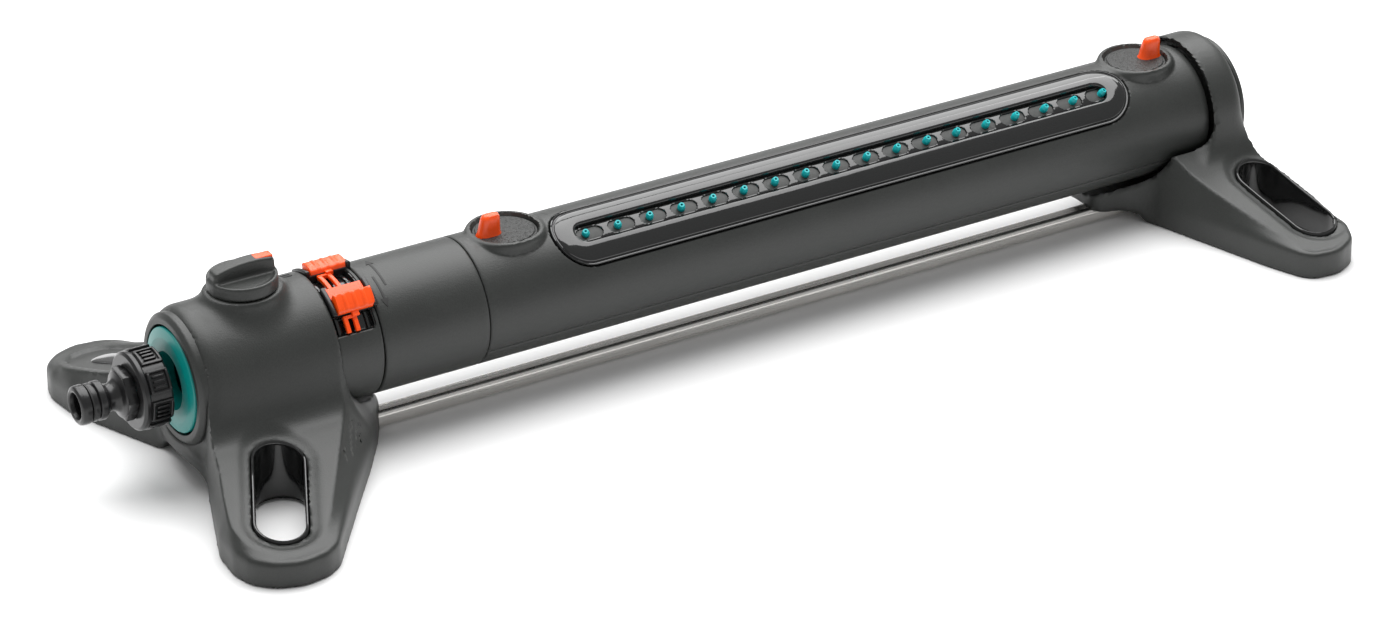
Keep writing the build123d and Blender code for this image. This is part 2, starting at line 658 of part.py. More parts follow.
# ---------------------------------------------------------------- build and save
save("inlet_stand", inlet_stand())
save("end_stand", end_stand())
save("end_cap", end_cap())
save("base_bar", base_bar())
save("inlet_stand_screws", base_screws(in_screws))
save("end_stand_screws", base_screws(end_screws))
save("inlet_slot_liner", front_liner(in_slot, slot_len_in, -leg_reach_in))
save("end_slot_liners", both_sides(front_liner(end_slot, slot_len_end, -leg_reach_end)))
save("filter_ring", filter_ring())
save("filter_seal", filter_seal())
save("filter_screen", filter_screen())
save("hose_nipple", hose_nipple())
save("nipple_seal", nipple_seal())
save("inlet_washer", inlet_washer())
save("union_nut", union_nut())
save("flow_knob", flow_knob())
save("knob_marker", knob_marker())
save("valve_spindle", valve_spindle())
save("spindle_seal", spindle_seal())
save("valve_body", valve_body())
save("valve_plug", valve_plug())
save("collar_ring", collar_ring())
save("slider_front_carriage", slider(front_phi))
save("slider_rear_carriage", slider(rear_phi))
save("slider_front_clip", slider_clip(front_phi, front_phi + 9, front_phi + 22))
save("slider_rear_clip", slider_clip(rear_phi, rear_phi + 9, rear_phi + 24))
save("motor_housing", motor_housing())
save("turbine_wheel", turbine_wheel())
save("reduction_gear", reduction_gear())
save("output_gear", output_gear())
save_tilted("drive_sleeve", drive_sleeve())
save_tilted("tube_upper_shell", tube_upper_shell())
save_tilted("tube_lower_shell", tube_lower_shell())
save_tilted("nozzle_panel", nozzle_panel())
save_tilted("water_tube", water_tube())
save_tilted("end_bearing", end_bearing())
save_tilted("zoom_dial_left", zoom_dial(dial_left))
save_tilted("zoom_dial_right", zoom_dial(dial_right))
save_tilted("zoom_lever_left", zoom_lever(dial_left, -1))
save_tilted("zoom_lever_right", zoom_lever(dial_right, 1))
save_tilted("zoom_slide_left", zoom_slide(0, nozzle_count // 2 - 1))
save_tilted("zoom_slide_right", zoom_slide(nozzle_count // 2, nozzle_count - 1))
for number in range(nozzle_count):
    save_tilted(f"nozzle_{number + 1:02d}", nozzle(number))
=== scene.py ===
"""Looks of an oscillating lawn sprinkler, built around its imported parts.

Shapes are worked out in millimetres in the axis frame: x runs along the swinging tube
from the hose nipple to the end cap, y points to the back, z up, and the tube's axis is
the line y = 0, z = 0. Angles called phi go round that axis from straight up towards the
front. make_piece turns millimetres into metres and lifts the axis onto its feet.
"""
import logging
import math
from dataclasses import dataclass, field
from enum import Enum
from typing import Callable, Dict, List, Optional, Sequence, Tuple, Union

import bmesh
import bpy
import numpy as np
from mathutils import Matrix, Vector


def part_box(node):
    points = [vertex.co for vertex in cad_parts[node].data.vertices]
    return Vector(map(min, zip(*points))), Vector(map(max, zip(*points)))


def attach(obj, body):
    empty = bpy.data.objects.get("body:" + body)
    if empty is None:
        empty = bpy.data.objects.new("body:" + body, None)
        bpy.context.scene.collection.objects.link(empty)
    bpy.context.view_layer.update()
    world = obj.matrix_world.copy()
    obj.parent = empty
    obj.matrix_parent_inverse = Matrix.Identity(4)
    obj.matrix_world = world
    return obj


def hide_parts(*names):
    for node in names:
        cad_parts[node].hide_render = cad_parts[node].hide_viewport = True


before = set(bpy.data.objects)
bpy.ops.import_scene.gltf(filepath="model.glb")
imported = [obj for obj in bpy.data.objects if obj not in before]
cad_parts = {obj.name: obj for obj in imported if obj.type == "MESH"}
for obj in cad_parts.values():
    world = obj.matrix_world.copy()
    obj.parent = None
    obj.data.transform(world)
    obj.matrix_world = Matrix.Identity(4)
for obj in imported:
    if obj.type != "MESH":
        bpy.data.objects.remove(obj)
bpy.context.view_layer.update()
LOG = logging.getLogger("sprinkler")
Array = np.ndarray
Number = Union[int, float]


# ------------------------------------------------------------------ shader maths
class Field:
    """A shader socket that adds, multiplies and compares like a number."""

    def __init__(self, graph: "Graph", socket: bpy.types.NodeSocket) -> None:
        """Wraps a socket.

        Args:
            graph: the graph the socket belongs to.
            socket: an output socket.
        """
        self.graph = graph
        self.socket = socket

    def _math(self, kind: str, *others: Union["Field", Number], clamp: bool = False) -> "Field":
        """One Math node on this socket and others.

        Args:
            kind: the node's operation.
            others: the further inputs.
            clamp: keep the result between 0 and 1.

        Returns:
            The result.
        """
        return self.graph.math(kind, self, *others, clamp=clamp)

    def __add__(self, other: Union["Field", Number]) -> "Field":
        """Sum."""
        return self._math("ADD", other)

    def __radd__(self, other: Number) -> "Field":
        """Sum, number first."""
        return self.graph.math("ADD", other, self)

    def __sub__(self, other: Union["Field", Number]) -> "Field":
        """Difference."""
        return self._math("SUBTRACT", other)

    def __rsub__(self, other: Number) -> "Field":
        """Difference, number first."""
        return self.graph.math("SUBTRACT", other, self)

    def __mul__(self, other: Union["Field", Number]) -> "Field":
        """Product."""
        return self._math("MULTIPLY", other)

    def __rmul__(self, other: Number) -> "Field":
        """Product, number first."""
        return self.graph.math("MULTIPLY", other, self)

    def __truediv__(self, other: Union["Field", Number]) -> "Field":
        """Quotient."""
        return self._math("DIVIDE", other)

    def __pow__(self, other: Union["Field", Number]) -> "Field":
        """Power."""
        return self._math("POWER", other)

    def clamped(self) -> "Field":
        """The same value kept between 0 and 1."""
        return self._math("ADD", 0.0, clamp=True)

    def smooth(self, low: Number, high: Number) -> "Field":
        """0 below low, 1 above high and an S-curve between them.

        Args:
            low: start of the ramp.
            high: end of the ramp.

        Returns:
            t * t * (3 - 2 t) with t the clamped share between low and high.
        """
        t = ((self - low) / (high - low)).clamped()
        return t * t * (3.0 - 2.0 * t)


class Graph:
    """Node tree of one material."""

    def __init__(self, name: str) -> None:
        """Starts an empty material.

        Args:
            name: the material's name.
        """
        self.material = bpy.data.materials.new(name)
        self.material.use_nodes = True
        self.tree = self.material.node_tree
        self.tree.nodes.clear()

    def node(self, kind: str, settings: Optional[Dict[str, object]] = None,
             inputs: Optional[Dict[str, object]] = None) -> bpy.types.Node:
        """Any node: type, settings, and socket values or links.

        Args:
            kind: the node's type.
            settings: attributes of the node.
            inputs: by socket name, a Field to link or a value to set.

        Returns:
            The node.
        """
        made = self.tree.nodes.new(kind)
        for key, value in (settings or {}).items():
            setattr(made, key, value)
        for key, value in (inputs or {}).items():
            if isinstance(value, Field):
                self.tree.links.new(value.socket, made.inputs[key])
            else:
                made.inputs[key].default_value = value
        return made

    def field(self, node: bpy.types.Node, output: Union[str, int] = 0) -> Field:
        """An output of a node as a Field."""
        return Field(self, node.outputs[output])

    def math(self, kind: str, *values: Union[Field, Number], clamp: bool = False) -> Field:
        """One Math node.

        Args:
            kind: the operation.
            values: the inputs in order.
            clamp: keep the result between 0 and 1.

        Returns:
            The result.
        """
        made = self.tree.nodes.new("ShaderNodeMath")
        made.operation = kind
        made.use_clamp = clamp
        for slot, value in zip(made.inputs, values):
            if isinstance(value, Field):
                self.tree.links.new(value.socket, slot)
            else:
                slot.default_value = float(value)
        return Field(self, made.outputs[0])

    def where(self) -> Field:
        """Object coordinates, in metres."""
        return self.field(self.node("ShaderNodeTexCoord"), "Object")

    def stretched(self, scale: Tuple[float, float, float]) -> Field:
        """Object coordinates scaled along each axis."""
        return self.field(self.node("ShaderNodeMapping", inputs={"Vector": self.where(), "Scale": scale}))

    def noise(self, place: Field, scale: float, detail: float = 2.0, rough: float = 0.5) -> Field:
        """Cloud pattern between 0 and 1.

        Args:
            place: where the pattern is read.
            scale: patches per metre.
            detail: octaves.
            rough: weight of the finer octaves.

        Returns:
            The pattern's value.
        """
        return self.field(self.node("ShaderNodeTexNoise", inputs={
            "Vector": place, "Scale": scale, "Detail": detail, "Roughness": rough}), "Fac")

    def cells(self, place: Field, scale: float) -> Field:
        """Distance to the nearest of many scattered points."""
        return self.field(self.node("ShaderNodeTexVoronoi", inputs={"Vector": place, "Scale": scale}), "Distance")

    def tint(self, share: Field, first: Sequence[float], second: Sequence[float]) -> Field:
        """Mix of two colours by a share between 0 and 1."""
        made = self.node("ShaderNodeMix", {"data_type": "RGBA"})
        self.tree.links.new(share.socket, made.inputs["Factor"])
        colours = [s for s in made.inputs if s.type == "RGBA"]
        colours[0].default_value = (*first, 1.0)
        colours[1].default_value = (*second, 1.0)
        return Field(self, next(s for s in made.outputs if s.type == "RGBA"))

    def finish(self, constants: Dict[str, object], linked: Dict[str, Field],
               height: Optional[Field] = None, relief: float = 0.0) -> bpy.types.Material:
        """Closes the graph with the surface shader.

        Args:
            constants: fixed socket values.
            linked: varying socket values.
            height: relief pattern, if any.
            relief: height of the relief in metres.

        Returns:
            The finished material.
        """
        shader = self.node("ShaderNodeBsdfPrincipled", inputs={**constants, **linked})
        if height is not None:
            bump = self.node("ShaderNodeBump", inputs={"Height": height, "Distance": relief, "Strength": 1.0})
            self.tree.links.new(bump.outputs["Normal"], shader.inputs["Normal"])
        out = self.node("ShaderNodeOutputMaterial")
        self.tree.links.new(shader.outputs["BSDF"], out.inputs["Surface"])
        return self.material


# ------------------------------------------------------------------ finishes
class Grain(Enum):
    """How a moulded surface was textured in the tool."""

    SPARK = "fine spark-eroded texture"
    SATIN = "satin"
    POLISHED = "polished"
    CRACKLE = "coarse crackle texture"


@dataclass(frozen=True)
class Moulded:
    """A moulded plastic or rubber.

    Colour mixes base and its lighter shade by a cloud pattern, roughness and relief follow
    the grain.
    """

    name: str
    base: Tuple[float, float, float]
    slot: str
    roughness: float = 0.5
    grain: Grain = Grain.SPARK
    spread: float = 0.16
    coat: float = 0.0

    def material(self) -> bpy.types.Material:
        """Builds the material once and returns it on later calls."""
        found = bpy.data.materials.get(self.name)
        if found:
            return found
        g = Graph(self.name)
        place = g.where()
        cloud = g.noise(place, 38.0, 3.0)
        fine = g.noise(place, 1500.0, 2.0, 0.6)
        speck = g.noise(place, 3200.0, 1.0, 0.5)
        if self.grain is Grain.CRACKLE:
            height = (1.0 - g.cells(place, 900.0).smooth(0.05, 0.55)) * 0.8 + fine * 0.4
            relief, swing = 0.00035, 0.10
        elif self.grain is Grain.SPARK:
            height = fine * 0.65 + speck * 0.35
            relief, swing = 0.00011, 0.12
        elif self.grain is Grain.SATIN:
            height = fine
            relief, swing = 0.00003, 0.10
        else:
            height = g.noise(place, 70.0, 2.0)
            relief, swing = 0.00006, 0.05
        dark = tuple(c * (1.0 - self.spread) for c in self.base)
        light = tuple(min(1.0, c * (1.0 + self.spread)) for c in self.base)
        share = (cloud * 0.45 + fine * 0.55).smooth(0.3, 0.7)
        rough = (cloud - 0.5) * swing + (fine - 0.5) * swing + self.roughness
        return g.finish({"IOR": 1.5, "Coat Roughness": 0.05, "Coat Weight": self.coat},
                        {"Base Color": g.tint(share, dark, light), "Roughness": rough.clamped()},
                        height, relief)


@dataclass(frozen=True)
class Drawn:
    """Drawn metal: streaks run along x and vary roughness and colour."""

    name: str
    base: Tuple[float, float, float]
    slot: str
    roughness: float = 0.25

    def material(self) -> bpy.types.Material:
        """Builds the material once and returns it on later calls."""
        found = bpy.data.materials.get(self.name)
        if found:
            return found
        g = Graph(self.name)
        streak = g.noise(g.stretched((8.0, 900.0, 900.0)), 1.0, 3.0, 0.6)
        patch = g.noise(g.where(), 25.0, 2.0)
        dark = tuple(c * 0.86 for c in self.base)
        rough = streak * 0.16 + patch * 0.08 + (self.roughness - 0.1)
        return g.finish({"Metallic": 1.0, "IOR": 1.5},
                        {"Base Color": g.tint(streak.smooth(0.3, 0.7), dark, self.base),
                         "Roughness": rough.clamped()}, streak, 0.00002)


@dataclass(frozen=True)
class Palette:
    """Every finish of the sprinkler."""

    shell: Moulded = Moulded("anthracite_shell", (0.0235, 0.0255, 0.0237), "anthracite_plastic", 0.44)
    dial: Moulded = Moulded("dial_crackle", (0.0175, 0.0185, 0.0177), "anthracite_plastic", 0.55, Grain.CRACKLE)
    gloss: Moulded = Moulded("black_gloss_trim", (0.010, 0.0105, 0.0105), "black_gloss", 0.07, Grain.POLISHED, 0.1, 0.3)
    black: Moulded = Moulded("black_satin", (0.0085, 0.0085, 0.0090), "black_plastic", 0.30, Grain.SATIN)
    teal: Moulded = Moulded("teal_ring", (0.0, 0.235, 0.215), "teal_plastic", 0.34, Grain.SATIN, 0.05)
    jet: Moulded = Moulded("teal_jet_rubber", (0.0, 0.42, 0.44), "teal_rubber", 0.42, Grain.SATIN, 0.06)
    orange: Moulded = Moulded("orange_part", (0.95, 0.080, 0.0015), "orange_plastic", 0.30, Grain.SATIN, 0.05)
    inner: Moulded = Moulded("inner_works", (0.28, 0.29, 0.285), "inner_plastic", 0.45, Grain.SATIN)
    seal: Moulded = Moulded("seal_rubber", (0.012, 0.012, 0.012), "rubber_seal", 0.55, Grain.SATIN)
    mesh: Moulded = Moulded("sieve_plastic", (0.62, 0.63, 0.60), "sieve_mesh", 0.5, Grain.SATIN)
    print: Moulded = Moulded("dark_marks", (0.012, 0.012, 0.012), "black_plastic", 0.6, Grain.SATIN)
    bar: Drawn = Drawn("drawn_aluminium", (0.86, 0.84, 0.81), "bar_aluminium", 0.24)
    screw: Drawn = Drawn("zinc_screw", (0.60, 0.60, 0.61), "screw_steel", 0.34)


FINISH = Palette()


# ------------------------------------------------------------------ surfaces
@dataclass
class Surface:
    """Points in millimetres and four-cornered faces; a face may repeat a corner at a pole."""

    points: Array
    faces: Array

    def moved(self, change: Callable[[Array], Array]) -> "Surface":
        """The same faces on changed points."""
        return Surface(change(self.points), self.faces)

    def __add__(self, other: "Surface") -> "Surface":
        """Both surfaces as one."""
        return Surface(np.vstack([self.points, other.points]),
                       np.vstack([self.faces, other.faces + len(self.points)]))


def joined(parts: Sequence[Surface]) -> Surface:
    """Several surfaces as one."""
    total = parts[0]
    for part in parts[1:]:
        total = total + part
    return total


def grid_faces(rows: int, cols: int, wrap_rows: bool = False, wrap_cols: bool = False) -> Array:
    """Faces of a grid of points numbered row by row.

    Args:
        rows: points along the first parameter.
        cols: points along the second.
        wrap_rows: join the last row to the first.
        wrap_cols: join the last column to the first.

    Returns:
        One line of four corners for each face.
    """
    r = np.arange(rows if wrap_rows else rows - 1)[:, None]
    c = np.arange(cols if wrap_cols else cols - 1)[None, :]
    r2, c2 = (r + 1) % rows, (c + 1) % cols
    return np.stack([r * cols + c, r * cols + c2, r2 * cols + c2, r2 * cols + c], -1).reshape(-1, 4)


def grid_surface(points: Array, wrap_rows: bool = False, wrap_cols: bool = False) -> Surface:
    """A (rows, cols, 3) array of points as a surface."""
    rows, cols = points.shape[:2]
    return Surface(points.reshape(-1, 3), grid_faces(rows, cols, wrap_rows, wrap_cols))


def eased(points: Sequence[Tuple[float, float]], radius: Union[float, Sequence[float]],
          steps: int = 5, closed: bool = False) -> Array:
    """A polyline with its corners rounded by parabolas.

    Each corner p1 between p0 and p2 becomes (1-s)^2 a + 2 s (1-s) p1 + s^2 b, where a and b
    lie on the two sides, radius / tan(half the corner's angle) away from p1.

    Args:
        points: the corners.
        radius: one radius, or one for each corner.
        steps: points on each rounding.
        closed: the last corner joins the first.

    Returns:
        The rounded line.
    """
    p = np.array(points, float)
    n = len(p)
    radii = np.full(n, radius, float) if np.isscalar(radius) else np.array(radius, float)
    out: List[Array] = [] if closed else [p[0]]
    for k in (range(n) if closed else range(1, n - 1)):
        back, ahead = p[k - 1] - p[k], p[(k + 1) % n] - p[k]
        lb, la = np.linalg.norm(back), np.linalg.norm(ahead)
        back, ahead = back / lb, ahead / la
        half = math.acos(float(np.clip(back @ ahead, -1, 1))) / 2
        reach = min(radii[k] / max(math.tan(half), 1e-3), 0.48 * lb, 0.48 * la)
        s = np.linspace(0, 1, steps)[:, None]
        a, b = p[k] + back * reach, p[k] + ahead * reach
        out.extend((1 - s) ** 2 * a + 2 * s * (1 - s) * p[k] + s ** 2 * b)
    if not closed:
        out.append(p[-1])
    return np.array(out)


def turned(profile: Array, count: int = 128) -> Surface:
    """Turns a profile about the x axis: (x, r) becomes (x, -r sin a, r cos a).

    Args:
        profile: lines of x and radius; ends at radius 0 close as poles.
        count: points round the axis.

    Returns:
        The turned surface.
    """
    a = np.linspace(0, 2 * math.pi, count, endpoint=False)
    x = np.repeat(profile[:, 0][:, None], count, 1)
    y = -profile[:, 1][:, None] * np.sin(a)
    z = profile[:, 1][:, None] * np.cos(a)
    return grid_surface(np.stack([x, y, z], -1), wrap_cols=True)


def lathe(points: Sequence[Tuple[float, float]], radius: Union[float, Sequence[float]],
          count: int = 128, closed: bool = True) -> Surface:
    """A ring or plug turned from a rounded outline.

    Args:
        points: corners of x and radius.
        radius: rounding of the corners.
        count: points round the axis.
        closed: the outline is closed, as for a ring.

    Returns:
        The turned surface.
    """
    line = eased(points, radius, closed=closed)
    if closed:
        line = np.vstack([line, line[:1]])
    return turned(line, count)


def upright(surface: Surface) -> Surface:
    """Stands a turned surface up: its x becomes z."""
    return surface.moved(lambda p: np.stack([-p[:, 2], p[:, 1], p[:, 0]], -1))


def shifted(surface: Surface, x: float = 0.0, y: float = 0.0, z: float = 0.0) -> Surface:
    """A surface moved by x, y, z."""
    return surface.moved(lambda p: p + np.array([x, y, z]))


def tilted(surface: Surface, degrees: float) -> Surface:
    """A surface turned about the tube's axis towards the front."""
    a = math.radians(degrees)
    turn = np.array([[1, 0, 0], [0, math.cos(a), -math.sin(a)], [0, math.sin(a), math.cos(a)]])
    return surface.moved(lambda p: p @ turn.T)


def wrapped(surface: Surface) -> Surface:
    """Bends flat stock round the tube: (x, arc in degrees, radius) becomes a point.

    A point (x, phi, r) goes to (x, -r sin phi, r cos phi).
    """
    def bend(p: Array) -> Array:
        """The bend itself."""
        phi = np.radians(p[:, 1])
        return np.stack([p[:, 0], -p[:, 2] * np.sin(phi), p[:, 2] * np.cos(phi)], -1)
    return surface.moved(bend)


def rounded_block(low: Sequence[float], high: Sequence[float], radius: float, steps: int = 10) -> Surface:
    """A block with rounded edges.

    Points q of a cube's skin go to c + radius * (q - c) / |q - c|, where c is q clamped to
    the block shrunk by radius.

    Args:
        low: lowest corner.
        high: highest corner.
        radius: rounding of the edges.
        steps: faces along each side of the cube.

    Returns:
        The block.
    """
    lo, hi = np.array(low, float), np.array(high, float)
    r = min(radius, 0.49 * float((hi - lo).min()))
    edge = np.linspace(0, 1, steps + 1)
    u, v = np.meshgrid(edge, edge, indexing="ij")
    parts: List[Surface] = []
    inner_lo, inner_hi = lo + r, hi - r
    for axis in range(3):
        for end in (0.0, 1.0):
            q = np.empty(u.shape + (3,))
            q[..., axis] = end
            q[..., (axis + 1) % 3] = u
            q[..., (axis + 2) % 3] = v
            near = 0.5 - 0.5 * np.cos(np.pi * q)
            p = lo + near * (hi - lo)
            core = np.clip(p, inner_lo, inner_hi)
            away = p - core
            size = np.linalg.norm(away, axis=-1, keepdims=True)
            parts.append(grid_surface(core + r * away / np.maximum(size, 1e-9)))
    return joined(parts)


def oval(half_long: float, half_wide: float, count: int = 96) -> Tuple[Array, Array]:
    """Stadium outline: its spine points and unit normals.

    Args:
        half_long: half the full length.
        half_wide: half the width.
        count: points round the outline.

    Returns:
        Spine points and normals, both (count, 2); outline = spine + half_wide * normal.
    """
    core = max(half_long - half_wide, 0.0)
    quarter = count // 4
    straight = np.linspace(-1, 1, quarter, endpoint=False)
    bend = np.linspace(0, math.pi, quarter, endpoint=False)
    spine = np.concatenate([
        np.stack([straight * core, 0 * straight], -1), np.stack([core + 0 * bend, 0 * bend], -1),
        np.stack([-straight * core, 0 * straight], -1), np.stack([-core + 0 * bend, 0 * bend], -1)])
    normal = np.concatenate([
        np.stack([0 * straight, -1 + 0 * straight], -1), np.stack([np.sin(bend), -np.cos(bend)], -1),
        np.stack([0 * straight, 1 + 0 * straight], -1), np.stack([-np.sin(bend), np.cos(bend)], -1)])
    return spine, normal


def oval_stack(half_long: float, half_wide: float, rings: Sequence[Tuple[float, float]],
               count: int = 96, closed: bool = False) -> Surface:
    """A profile carried round a stadium.

    Each ring is (offset from the outline, height): the outline moves out by offset along
    its normals. An offset of -half_wide closes the surface on its spine.

    Args:
        half_long: half the full length.
        half_wide: half the width.
        rings: the profile, outside offset and height.
        count: points round the outline.
        closed: join the last ring to the first.

    Returns:
        The surface, flat in x and y with height in z.
    """
    spine, normal = oval(half_long, half_wide, count)
    offset = np.array([r[0] for r in rings], float)[:, None, None]
    height = np.array([r[1] for r in rings], float)[:, None]
    flat = spine[None] + normal[None] * (half_wide + offset)
    z = np.repeat(height, len(spine), 1)
    return grid_surface(np.concatenate([flat, z[..., None]], -1), wrap_rows=closed, wrap_cols=True)


def stroke(start: Tuple[float, float], end: Tuple[float, float], wide0: float, wide1: float, radius: float,
           thick: float = 0.16) -> Surface:
    """A thin raised line on the tube, straight when unrolled, tapering from wide0 to wide1.

    Args:
        start: x and angle in degrees of one end.
        end: x and angle of the other.
        wide0: width at the start.
        wide1: width at the end.
        radius: radius of the surface it lies on.
        thick: how far it stands up.

    Returns:
        The closed line.
    """
    a = np.array([start[0], math.radians(start[1]) * radius])
    b = np.array([end[0], math.radians(end[1]) * radius])
    t = np.linspace(0, 1, 9)[:, None]
    side = np.array([-(b - a)[1], (b - a)[0]]) / np.linalg.norm(b - a) / 2
    wide = wide0 + (wide1 - wide0) * t
    flat = np.stack([a + (b - a) * t - side * wide, a + (b - a) * t + side * wide], 1)

    def at(r: float) -> Array:
        """The line's points at one radius."""
        phi = flat[..., 1] / radius
        return np.stack([flat[..., 0], -r * np.sin(phi), r * np.cos(phi)], -1)
    return shell_of(at(radius + thick), at(radius - 0.4))


def shell_of(outer: Array, inner: Array, wrap_cols: bool = False) -> Surface:
    """Closed skin between two (rows, cols, 3) grids.

    Args:
        outer: outer points.
        inner: inner points, matching one to one.
        wrap_cols: the grids close round on themselves.

    Returns:
        Both grids and the strips along their open borders.
    """
    rows, cols = outer.shape[:2]
    index = np.arange(rows * cols).reshape(rows, cols)
    far = index + rows * cols
    strips = []
    for line, other in ((index[0], far[0]), (index[-1], far[-1])):
        a, b = line, other
        if wrap_cols:
            a, b = np.append(a, a[0]), np.append(b, b[0])
        strips.append(np.stack([a[:-1], a[1:], b[1:], b[:-1]], -1))
    if not wrap_cols:
        for line, other in ((index[:, 0], far[:, 0]), (index[:, -1], far[:, -1])):
            strips.append(np.stack([line[:-1], line[1:], other[1:], other[:-1]], -1))
    body = grid_faces(rows, cols, wrap_cols=wrap_cols)
    faces = np.vstack([body, body[:, ::-1] + rows * cols, *strips])
    return Surface(np.vstack([outer.reshape(-1, 3), inner.reshape(-1, 3)]), faces)


def tube_skin(x: Array, phi: Array, outer: Array, inner: Array, wrap: bool) -> Surface:
    """Skin between two radius fields over x and phi.

    Args:
        x: stations along the axis.
        phi: angles in degrees.
        outer: outer radius, (x, phi).
        inner: inner radius, (x, phi).
        wrap: phi closes round on itself.

    Returns:
        The closed skin; a point is (x, -r sin phi, r cos phi).
    """
    a = np.radians(phi)[None, :]
    xx = np.repeat(x[:, None], len(phi), 1)

    def grid(r: Array) -> Array:
        """Points at radius r."""
        return np.stack([xx, -r * np.sin(a), r * np.cos(a)], -1)
    return shell_of(grid(outer), grid(inner), wrap)


def ramp(value: Array, low: float, high: float) -> Array:
    """S-curve from 0 at low to 1 at high: t * t * (3 - 2 t)."""
    t = np.clip((value - low) / (high - low), 0, 1)
    return t * t * (3 - 2 * t)


def smooth_min(a: Array, b: Array, k: float) -> Array:
    """Smaller of two fields with a blend of size k: min(a, b) - h^2 k / 4, h = max(k - |a - b|, 0) / k."""
    h = np.maximum(k - np.abs(a - b), 0) / k
    return np.minimum(a, b) - h * h * k / 4


def smooth_max(a: Array, b: Array, k: float) -> Array:
    """Larger of two fields with a blend of size k."""
    return -smooth_min(-a, -b, k)


def outline_distance(x: Array, y: Array, outline: Array) -> Array:
    """Signed distance to a closed outline, negative inside.

    The smallest distance to any edge, with its sign from how often a ray crosses the outline.

    Args:
        x: first coordinates.
        y: second coordinates.
        outline: corners, (n, 2).

    Returns:
        The distances.
    """
    x, y = np.broadcast_arrays(x, y)
    best = np.full(x.shape, 1e18)
    inside = np.zeros(x.shape, bool)
    for a, b in zip(outline, np.roll(outline, -1, 0)):
        e = b - a
        wx, wy = x - a[0], y - a[1]
        t = np.clip((wx * e[0] + wy * e[1]) / max(float(e @ e), 1e-12), 0, 1)
        best = np.minimum(best, (wx - e[0] * t) ** 2 + (wy - e[1] * t) ** 2)
        if a[1] != b[1]:
            inside ^= ((a[1] > y) != (b[1] > y)) & (x < e[0] * (y - a[1]) / e[1] + a[0])
    return np.where(inside, -1.0, 1.0) * np.sqrt(best)


def net_surface(solid: Callable[[Array, Array, Array], Array], low: Sequence[float],
                high: Sequence[float], step: float) -> Surface:
    """Skin of a solid given by a distance-like field, negative inside.

    One point for each lattice cell that the skin crosses, at the mean of the crossings on
    the cell's edges, then moved twice along the field's gradient onto the skin; one face
    for each lattice edge that is crossed.

    Args:
        solid: the field as a function of x, y, z.
        low: lowest corner of the lattice.
        high: highest corner of the lattice.
        step: lattice spacing.

    Returns:
        The skin.
    """
    axes = [np.arange(a, b + step, step) for a, b in zip(low, high)]
    value = solid(axes[0][:, None, None], axes[1][None, :, None], axes[2][None, None, :])
    inside = value < 0
    n = [len(a) - 1 for a in axes]

    def corner(data: Array, i: int, j: int, k: int) -> Array:
        """Values at one corner of every cell."""
        return data[i:i + n[0], j:j + n[1], k:k + n[2]]
    count = sum(corner(inside, i, j, k).astype(np.int8) for i in (0, 1) for j in (0, 1) for k in (0, 1))
    cells = np.argwhere((count > 0) & (count < 8))
    index = np.full(n, -1, np.int64)
    index[tuple(cells.T)] = np.arange(len(cells))
    total, hits = np.zeros((len(cells), 3)), np.zeros(len(cells))
    for axis in range(3):
        for u in (0, 1):
            for v in (0, 1):
                start = np.zeros(3, int)
                start[(axis + 1) % 3], start[(axis + 2) % 3] = u, v
                end = start.copy()
                end[axis] = 1
                va, vb = value[tuple((cells + start).T)], value[tuple((cells + end).T)]
                hit = (va < 0) != (vb < 0)
                t = np.where(hit, va / np.where(va == vb, 1, va - vb), 0)
                total += np.where(hit[:, None], start + t[:, None] * (end - start), 0)
                hits += hit
    points = np.array(low) + step * (cells + total / hits[:, None])
    faces: List[Array] = []
    for axis in range(3):
        a1, a2 = (axis + 1) % 3, (axis + 2) % 3
        here = [slice(1, -1)] * 3
        here[axis] = slice(0, -1)
        ahead = list(here)
        ahead[axis] = slice(1, None)
        first, second = inside[tuple(here)], inside[tuple(ahead)]
        edge = np.argwhere(first != second)
        rising = first[tuple(edge.T)]
        base = edge.copy()
        base[:, a1] += 1
        base[:, a2] += 1
        around = []
        for d1, d2 in ((0, 0), (-1, 0), (-1, -1), (0, -1)):
            c = base.copy()
            c[:, a1] += d1
            c[:, a2] += d2
            around.append(index[tuple(c.T)])
        quad = np.stack(around, -1)
        quad[rising] = quad[rising][:, ::-1]
        faces.append(quad)
    for _ in range(2):
        h = 0.25 * step
        centre = solid(points[:, 0], points[:, 1], points[:, 2])
        slope = np.stack([(solid(points[:, 0] + h * (a == 0), points[:, 1] + h * (a == 1),
                                 points[:, 2] + h * (a == 2)) - centre) / h for a in range(3)], -1)
        push = centre[:, None] * slope / np.maximum((slope ** 2).sum(1, keepdims=True), 0.2)
        points = points - np.clip(push, -0.45 * step, 0.45 * step)
    return Surface(points, np.vstack(faces))


